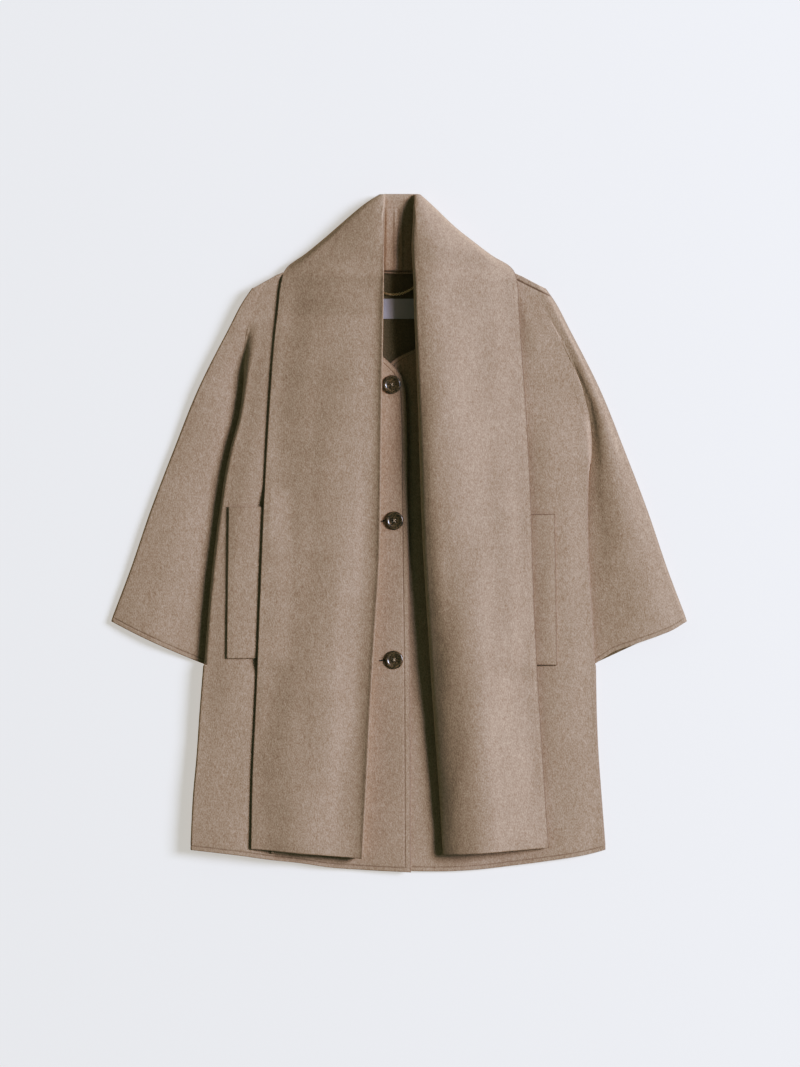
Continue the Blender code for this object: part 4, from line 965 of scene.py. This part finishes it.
LEAF = np.array([(0.4480, 0.0044), (0.4560, 0.0046), (0.4588, 0.0062), (0.4592, 0.0084),
                 (0.4560, 0.0108), (0.4480, 0.0116), (0.4300, 0.0112), (0.4080, 0.0104),
                 (0.3850, 0.0098), (0.3640, 0.0092), (0.3560, 0.0086)])
LEAF_UP = [0.3560, 0.385, 0.408, 0.43, 0.46]   # its half widths at these heights
LEAF_LEFT = [0.0205, 0.0205, 0.0210, 0.0225, 0.0250]
LEAF_RIGHT = [0.0215, 0.0212, 0.0210, 0.0208, 0.0206]
LEAF_FALL = 0.0024            # how far it sinks from the right towards the left
LEAF_TUCK = 0.0016            # how far its two sides dip under the scarf
WRINKLES = [(-0.0054, 0.0016, 0.0007), (0.0035, 0.0015, 0.0006), (-0.0010, 0.0020, -0.0004)]
gone = np.concatenate([[0], np.cumsum(np.linalg.norm(np.diff(LEAF, axis=0), axis=1))])
rows = []
for at in spread(gone[-1], RIM, EDGE, 60):
    y, z = smooth(gone, LEAF, at)
    left, right = (float(smooth(LEAF_UP, half, y)) for half in (LEAF_LEFT, LEAF_RIGHT))
    x = -right + spread(left + right, RIM, RIM, 56)
    wrinkle = sum(rise * np.exp(-((x - place) / half) ** 2) for place, half, rise in WRINKLES)
    tuck = LEAF_TUCK * (2 - ease((x + right) / 0.005) - ease((left - x) / 0.005))
    fall = LEAF_FALL * ease((x + right) / (left + right))
    inner = ease((at - 0.02) / 0.03)
    rows.append(np.stack([x, np.full_like(x, y), z + (wrinkle - tuck - fall) * inner], 1))
# painted shade at the rim of its lower edge, over the hollow of the neck
leaf = shell("collar_fold_cloth", np.array(rows), COAT_WOOL, sewn={"last row": (0.0, 0.4)})
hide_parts("collar_fold")

# ---------------------------------------------------------------- buttons
# Three dark horn buttons with a raised rim and a dished middle, each sewn on with beige thread
# through four holes. The right front's worked buttonholes lie under them, mostly hidden.
BUTTONS = [(-0.0098, 0.2016), (-0.0065, 0.0171), (-0.0069, -0.1718)]
BUTTON_RADIUS = 0.0125
BUTTON_HEIGHT = 0.0025
BUTTON_CLEAR = 0.0002         # between a button and the front under it
# half section of a button from its middle: shares of its radius and height
DISH = [(0.0, 0.45), (0.30, 0.45), (0.50, 0.48), (0.58, 0.56), (0.64, 0.74), (0.70, 0.92),
        (0.78, 1.0), (0.86, 0.96), (0.93, 0.80), (1.0, 0.45), (0.985, 0.22), (0.93, 0.06),
        (0.80, 0.0), (0.0, 0.0)]
HOLE_SPREAD = 0.0026          # from the middle of the button
HOLE_RADIUS = 0.0010
HOLES = [(sx * HOLE_SPREAD / 1.4, sy * HOLE_SPREAD / 1.4, HOLE_RADIUS)
         for sx in (-1, 1) for sy in (-1, 1)]
THREAD_RADIUS = 0.00030
THREAD_APART = 0.00028        # of a turn of thread from the line through its two holes
THREAD_RISE = 0.00075         # at the middle of a turn
THREAD_SINK = 0.0010          # into the holes at its ends
THREAD_CROSSED = 0.0002       # how far the upper turns lie over the lower ones
SLIT = (0.0198, 0.0060)       # a buttonhole reaches this far to either side of the button's middle
SLIT_FALL = -0.20
STITCH = (0.00028, 0.00080, 0.00034)
STITCH_PITCH = 0.00040
HORN_COLOURS = (0.030, 0.018, 0.009, 1.0), (0.24, 0.155, 0.075, 1.0)
THREAD_COLOURS = (0.30, 0.22, 0.14, 1.0), (0.52, 0.42, 0.30, 1.0)
# the buttonhole thread is real, but coloured near black as painted shade of the slit it edges
PURL_AND_SLIT_SHADE_COLOURS = (0.012, 0.008, 0.005, 1.0), (0.034, 0.022, 0.014, 1.0)


def tinted(tree, shade, shader, colours, places=(0.0, 1.0)):
    """Colours a shader from one colour to another as the shade rises between two places."""
    ramp = tree.nodes.new("ShaderNodeValToRGB")
    for stop, place, colour in zip(ramp.color_ramp.elements, places, colours):
        stop.position, stop.color = place, colour
    join(tree, shade, ramp.inputs["Fac"], ramp.outputs["Color"], shader.inputs["Base Color"])


def ribbed(name, colours, scale, way, depth, roughness, sheen=0.0):
    """Twisted or woven yarn: fine ribs in two colours, one beside the other along X or Y."""
    made, tree, shader, where = new_finish(name)
    wave, bump = tree.nodes.new("ShaderNodeTexWave"), tree.nodes.new("ShaderNodeBump")
    wave.bands_direction = way
    set_inputs(wave, Scale=scale)
    set_inputs(bump, Distance=depth)
    join(tree, where, wave.inputs["Vector"], wave.outputs["Fac"], bump.inputs["Height"],
         bump.outputs["Normal"], shader.inputs["Normal"])
    tinted(tree, wave.outputs["Fac"], shader, colours)
    set_inputs(shader, Roughness=roughness, Sheen_Weight=sheen)
    return made


horn, tree, shader, where = new_finish("dark_horn")
swirl = noise_node(tree, where, 260.0, 3.0)
swirl.node.inputs["Distortion"].default_value = 2.5
tinted(tree, swirl, shader, HORN_COLOURS, (0.42, 0.74))
set_inputs(shader, Roughness=0.34, Coat_Weight=0.2)
thread = ribbed("beige_thread", THREAD_COLOURS, 900.0, "X", 0.0001, 0.7)
# buttonhole thread: real stitches, darkened with painted shade of the slit
purl_and_slit_shade = ribbed("buttonhole_thread_and_slit_shade", PURL_AND_SLIT_SHADE_COLOURS, 900.0, "X", 0.0001, 0.7)


def as_mesh(work, name):
    mesh = bpy.data.meshes.new(name)
    work.to_mesh(mesh)
    work.free()
    return mesh


def as_built(thing):
    """A plain mesh of an object with its modifiers carried out."""
    now = bpy.context.evaluated_depsgraph_get()
    return bpy.data.meshes.new_from_object(thing.evaluated_get(now))


def turned(name, middle, profile, holes, material, segments=72):
    """A round piece from a half section in metres, drilled with holes (x, y, radius)."""
    work = bmesh.new()
    loops = []
    for radius, height in profile:
        around = [2 * math.pi * k / segments for k in range(segments if radius > 1e-9 else 1)]
        loops.append([work.verts.new((middle[0] + radius * math.cos(w),
                                      middle[1] + radius * math.sin(w), middle[2] + height))
                      for w in around])
    for one, two in zip(loops[:-1], loops[1:]):
        for k in range(segments):
            n = (k + 1) % segments
            corners = [one[k % len(one)], one[n % len(one)], two[n % len(two)], two[k % len(two)]]
            work.faces.new(list(dict.fromkeys(corners)))
    bmesh.ops.recalc_face_normals(work, faces=work.faces)
    solid = put(bpy.data.objects.new(name, as_mesh(work, name)))
    drills = []
    for k, (x, y, radius) in enumerate(holes):
        bpy.ops.mesh.primitive_cylinder_add(vertices=20, radius=radius, depth=0.02,
                                            location=(middle[0] + x, middle[1] + y, middle[2]))
        drill = bpy.context.object
        cut = solid.modifiers.new(f"hole {k + 1}", "BOOLEAN")
        cut.object = drill
        cut.operation = "DIFFERENCE"
        drills.append(drill)
    plain = as_built(solid)
    for tool in (solid, *drills):
        bpy.data.objects.remove(tool)
    return finished(name, plain, material)


def repeated(name, path, item, pitch, turn, material):
    """Copies of item set evenly along a path, each turned on from the last by an angle."""
    tree = bpy.data.node_groups.new(name, "GeometryNodeTree")
    given = {}
    for label, kind in (("Path", "Geometry"), ("Item", "Object"), ("Pitch", "Float"),
                        ("Turn", "Float"), ("Material", "Material")):
        given[label] = tree.interface.new_socket(label, in_out="INPUT",
                                                 socket_type=f"NodeSocket{kind}")
    tree.interface.new_socket("Mesh", in_out="OUTPUT", socket_type="NodeSocketGeometry")
    kinds = ("NodeGroupInput", "NodeGroupOutput", "GeometryNodeMeshToCurve",
             "GeometryNodeResampleCurve", "GeometryNodeObjectInfo", "GeometryNodeInputTangent",
             "FunctionNodeAlignRotationToVector", "GeometryNodeInputIndex", "ShaderNodeMath",
             "ShaderNodeCombineXYZ", "FunctionNodeEulerToRotation", "FunctionNodeRotateRotation",
             "GeometryNodeInstanceOnPoints", "GeometryNodeRealizeInstances",
             "GeometryNodeSetMaterial")
    (begin, end, curve, even, thing, tangent, aim, number, times, around, rolled, both, place,
     real, paint) = (tree.nodes.new(kind) for kind in kinds)
    even.mode, aim.axis, times.operation, both.rotation_space = "LENGTH", "X", "MULTIPLY", "LOCAL"
    join(tree, begin.outputs["Path"], curve.inputs["Mesh"], curve.outputs[0], even.inputs["Curve"],
         begin.outputs["Pitch"], even.inputs["Length"],
         begin.outputs["Item"], thing.inputs["Object"],
         tangent.outputs[0], aim.inputs["Vector"], number.outputs[0], times.inputs[0],
         begin.outputs["Turn"], times.inputs[1], times.outputs[0], around.inputs["X"],
         around.outputs[0], rolled.inputs[0], aim.outputs[0], both.inputs[0],
         rolled.outputs[0], both.inputs[1], even.outputs[0], place.inputs["Points"],
         thing.outputs["Geometry"], place.inputs["Instance"],
         both.outputs[0], place.inputs["Rotation"],
         place.outputs[0], real.inputs[0], real.outputs[0], paint.inputs["Geometry"],
         begin.outputs["Material"], paint.inputs["Material"], paint.outputs[0], end.inputs[0])
    line = bpy.data.meshes.new(name)
    line.from_pydata(path.tolist(), [(k, k + 1) for k in range(len(path) - 1)], [])
    holder = put(bpy.data.objects.new(name, line))
    nodes = holder.modifiers.new(name, "NODES")
    nodes.node_group = tree
    for label, value in (("Item", item), ("Pitch", pitch), ("Turn", turn), ("Material", material)):
        nodes[given[label].identifier] = value
    mesh = as_built(holder)
    holder.modifiers.remove(nodes)
    bpy.data.objects.remove(holder)
    bpy.data.objects.remove(item)
    mesh.materials.clear()
    return finished(name, mesh, material)


def add_thread(work, middle, turned_by, off):
    """One turn of thread across a button, up out of one hole and down into the other."""
    reach, sides = HOLE_SPREAD + 0.0002, 8
    along = math.cos(turned_by), math.sin(turned_by)
    beside = -along[1], along[0]
    rings = []
    for s in np.linspace(-1, 1, 13):
        rise = THREAD_RISE * (1 - s * s) - THREAD_SINK * max(0.0, abs(s) - 0.8) / 0.2
        ring = []
        for w in np.arange(sides) * 2 * math.pi / sides:
            out = off + THREAD_RADIUS * math.cos(w)
            ring.append(work.verts.new((middle[0] + along[0] * s * reach + beside[0] * out,
                                        middle[1] + along[1] * s * reach + beside[1] * out,
                                        middle[2] + rise + THREAD_RADIUS * math.sin(w))))
        rings.append(ring)
    for one, two in zip(rings[:-1], rings[1:]):
        for n in range(sides):
            m = (n + 1) % sides
            work.faces.new([one[n], one[m], two[m], two[n]])
    work.faces.new(rings[0][::-1])
    work.faces.new(rings[-1])


profile = [(r * BUTTON_RADIUS, h * BUTTON_HEIGHT) for r, h in DISH]
for index, (x, y) in enumerate(BUTTONS, 1):
    seat = float(front_top(FRONTS["right"], np.array(-x), np.array(y))) + BUTTON_CLEAR
    button = turned(f"button_{index}_horn", (x, y, seat), profile, HOLES, horn)
    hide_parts(f"button_{index}")
    work, top = bmesh.new(), seat + profile[0][1]
    for turned_by, over in ((math.radians(45), THREAD_CROSSED), (math.radians(-45), 0.0)):
        for off in (-THREAD_APART, THREAD_APART):
            add_thread(work, (x, y, top + over), turned_by, off)
    bmesh.ops.recalc_face_normals(work, faces=work.faces)
    name = f"button_{index}_thread"
    sewing = finished(name, as_mesh(work, name), thread)
    if index == 1:
        continue              # the scarf hides the first buttonhole
    stitch = bmesh.new()
    bmesh.ops.create_uvsphere(stitch, u_segments=8, v_segments=6, radius=1.0,
                              matrix=Matrix.Diagonal((*STITCH, 1.0)))
    item = put(bpy.data.objects.new("stitch", as_mesh(stitch, "stitch")))
    slit_x = x + np.linspace(-SLIT[0], SLIT[1], 30)
    slit_y = y - SLIT_FALL * (slit_x - x + BUTTON_RADIUS)
    slit_z = front_top(FRONTS["right"], -slit_x, slit_y) + 0.0001
    slit = repeated(f"buttonhole_{index}_stitches", np.stack([slit_x, slit_y, slit_z], 1),
                    item, STITCH_PITCH, 0.0, purl_and_slit_shade)

# ---------------------------------------------------------------- neck label
# A woven satin label, pale lavender grey and bare. It lies on the back's inner face, to which it
# is sewn by its corners, so that its middle stands off a little.
LABEL_HALF = (0.0345, 0.01375)
LABEL_Y = 0.3050
LABEL_Z = 0.0031
LABEL_THICK = 0.0007
LABEL_BULGE = (0.0005, -0.004, 0.012)   # how high it stands off, where, and over what width
SATIN_COLOURS = (0.40, 0.375, 0.38, 1.0), (0.52, 0.49, 0.495, 1.0)

satin = ribbed("woven_satin", SATIN_COLOURS, 600.0, "Y", 0.00008, 0.45, sheen=0.2)
across = spread(2 * LABEL_HALF[0], RIM / 4, RIM / 4, 34) - LABEL_HALF[0]
upright = spread(2 * LABEL_HALF[1], RIM / 4, RIM / 4, 14) - LABEL_HALF[1]
grid_x, grid_y = np.meshgrid(across, upright)
high, place, half = LABEL_BULGE
lift = high * np.exp(-((grid_x - place) / half) ** 2) * np.cos(grid_y / LABEL_HALF[1] * 1.2)
label = shell("neck_label_satin", np.stack(
    [grid_x, grid_y + LABEL_Y, lift + LABEL_Z + LABEL_THICK / 2], 2), satin, wall=LABEL_THICK)
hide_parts("neck_label")

# ---------------------------------------------------------------- hanger chain
# A fine chain of round links bent from brass wire, to hang the coat by. It curves across the
# back of the neck above the label, and both its ends are fixed under the collar.
CHAIN_HALF = 0.0385
CHAIN_MIDDLE = (-0.0073, 0.3242)
CHAIN_RISE = 0.0190           # of its ends over its middle
CHAIN_LIFT = 0.0052
CHAIN_SPOTS = 61
LINK_RADIUS = 0.0015
LINK_WIRE = 0.0005
LINK_PITCH = 0.0020
LINK_TURN = 1.45              # radians from one link to the next
BRASS_COLOURS = (0.78, 0.60, 0.36, 1.0), (0.98, 0.82, 0.58, 1.0)

brass, tree, shader, where = new_finish("brass")
tinted(tree, noise_node(tree, where, 420.0, 2.0), shader, BRASS_COLOURS)
set_inputs(shader, Metallic=1.0, Roughness=0.28)

bpy.ops.mesh.primitive_torus_add(major_radius=LINK_RADIUS, minor_radius=LINK_WIRE,
                                 major_segments=16, minor_segments=8)
along = np.linspace(-1, 1, CHAIN_SPOTS)
chain = repeated("hanger_chain_links", np.stack([
    CHAIN_MIDDLE[0] + CHAIN_HALF * along, CHAIN_MIDDLE[1] + CHAIN_RISE * along ** 2,
    np.full(CHAIN_SPOTS, CHAIN_LIFT)], 1), bpy.context.object, LINK_PITCH, LINK_TURN, brass)
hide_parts("hanger_chain")
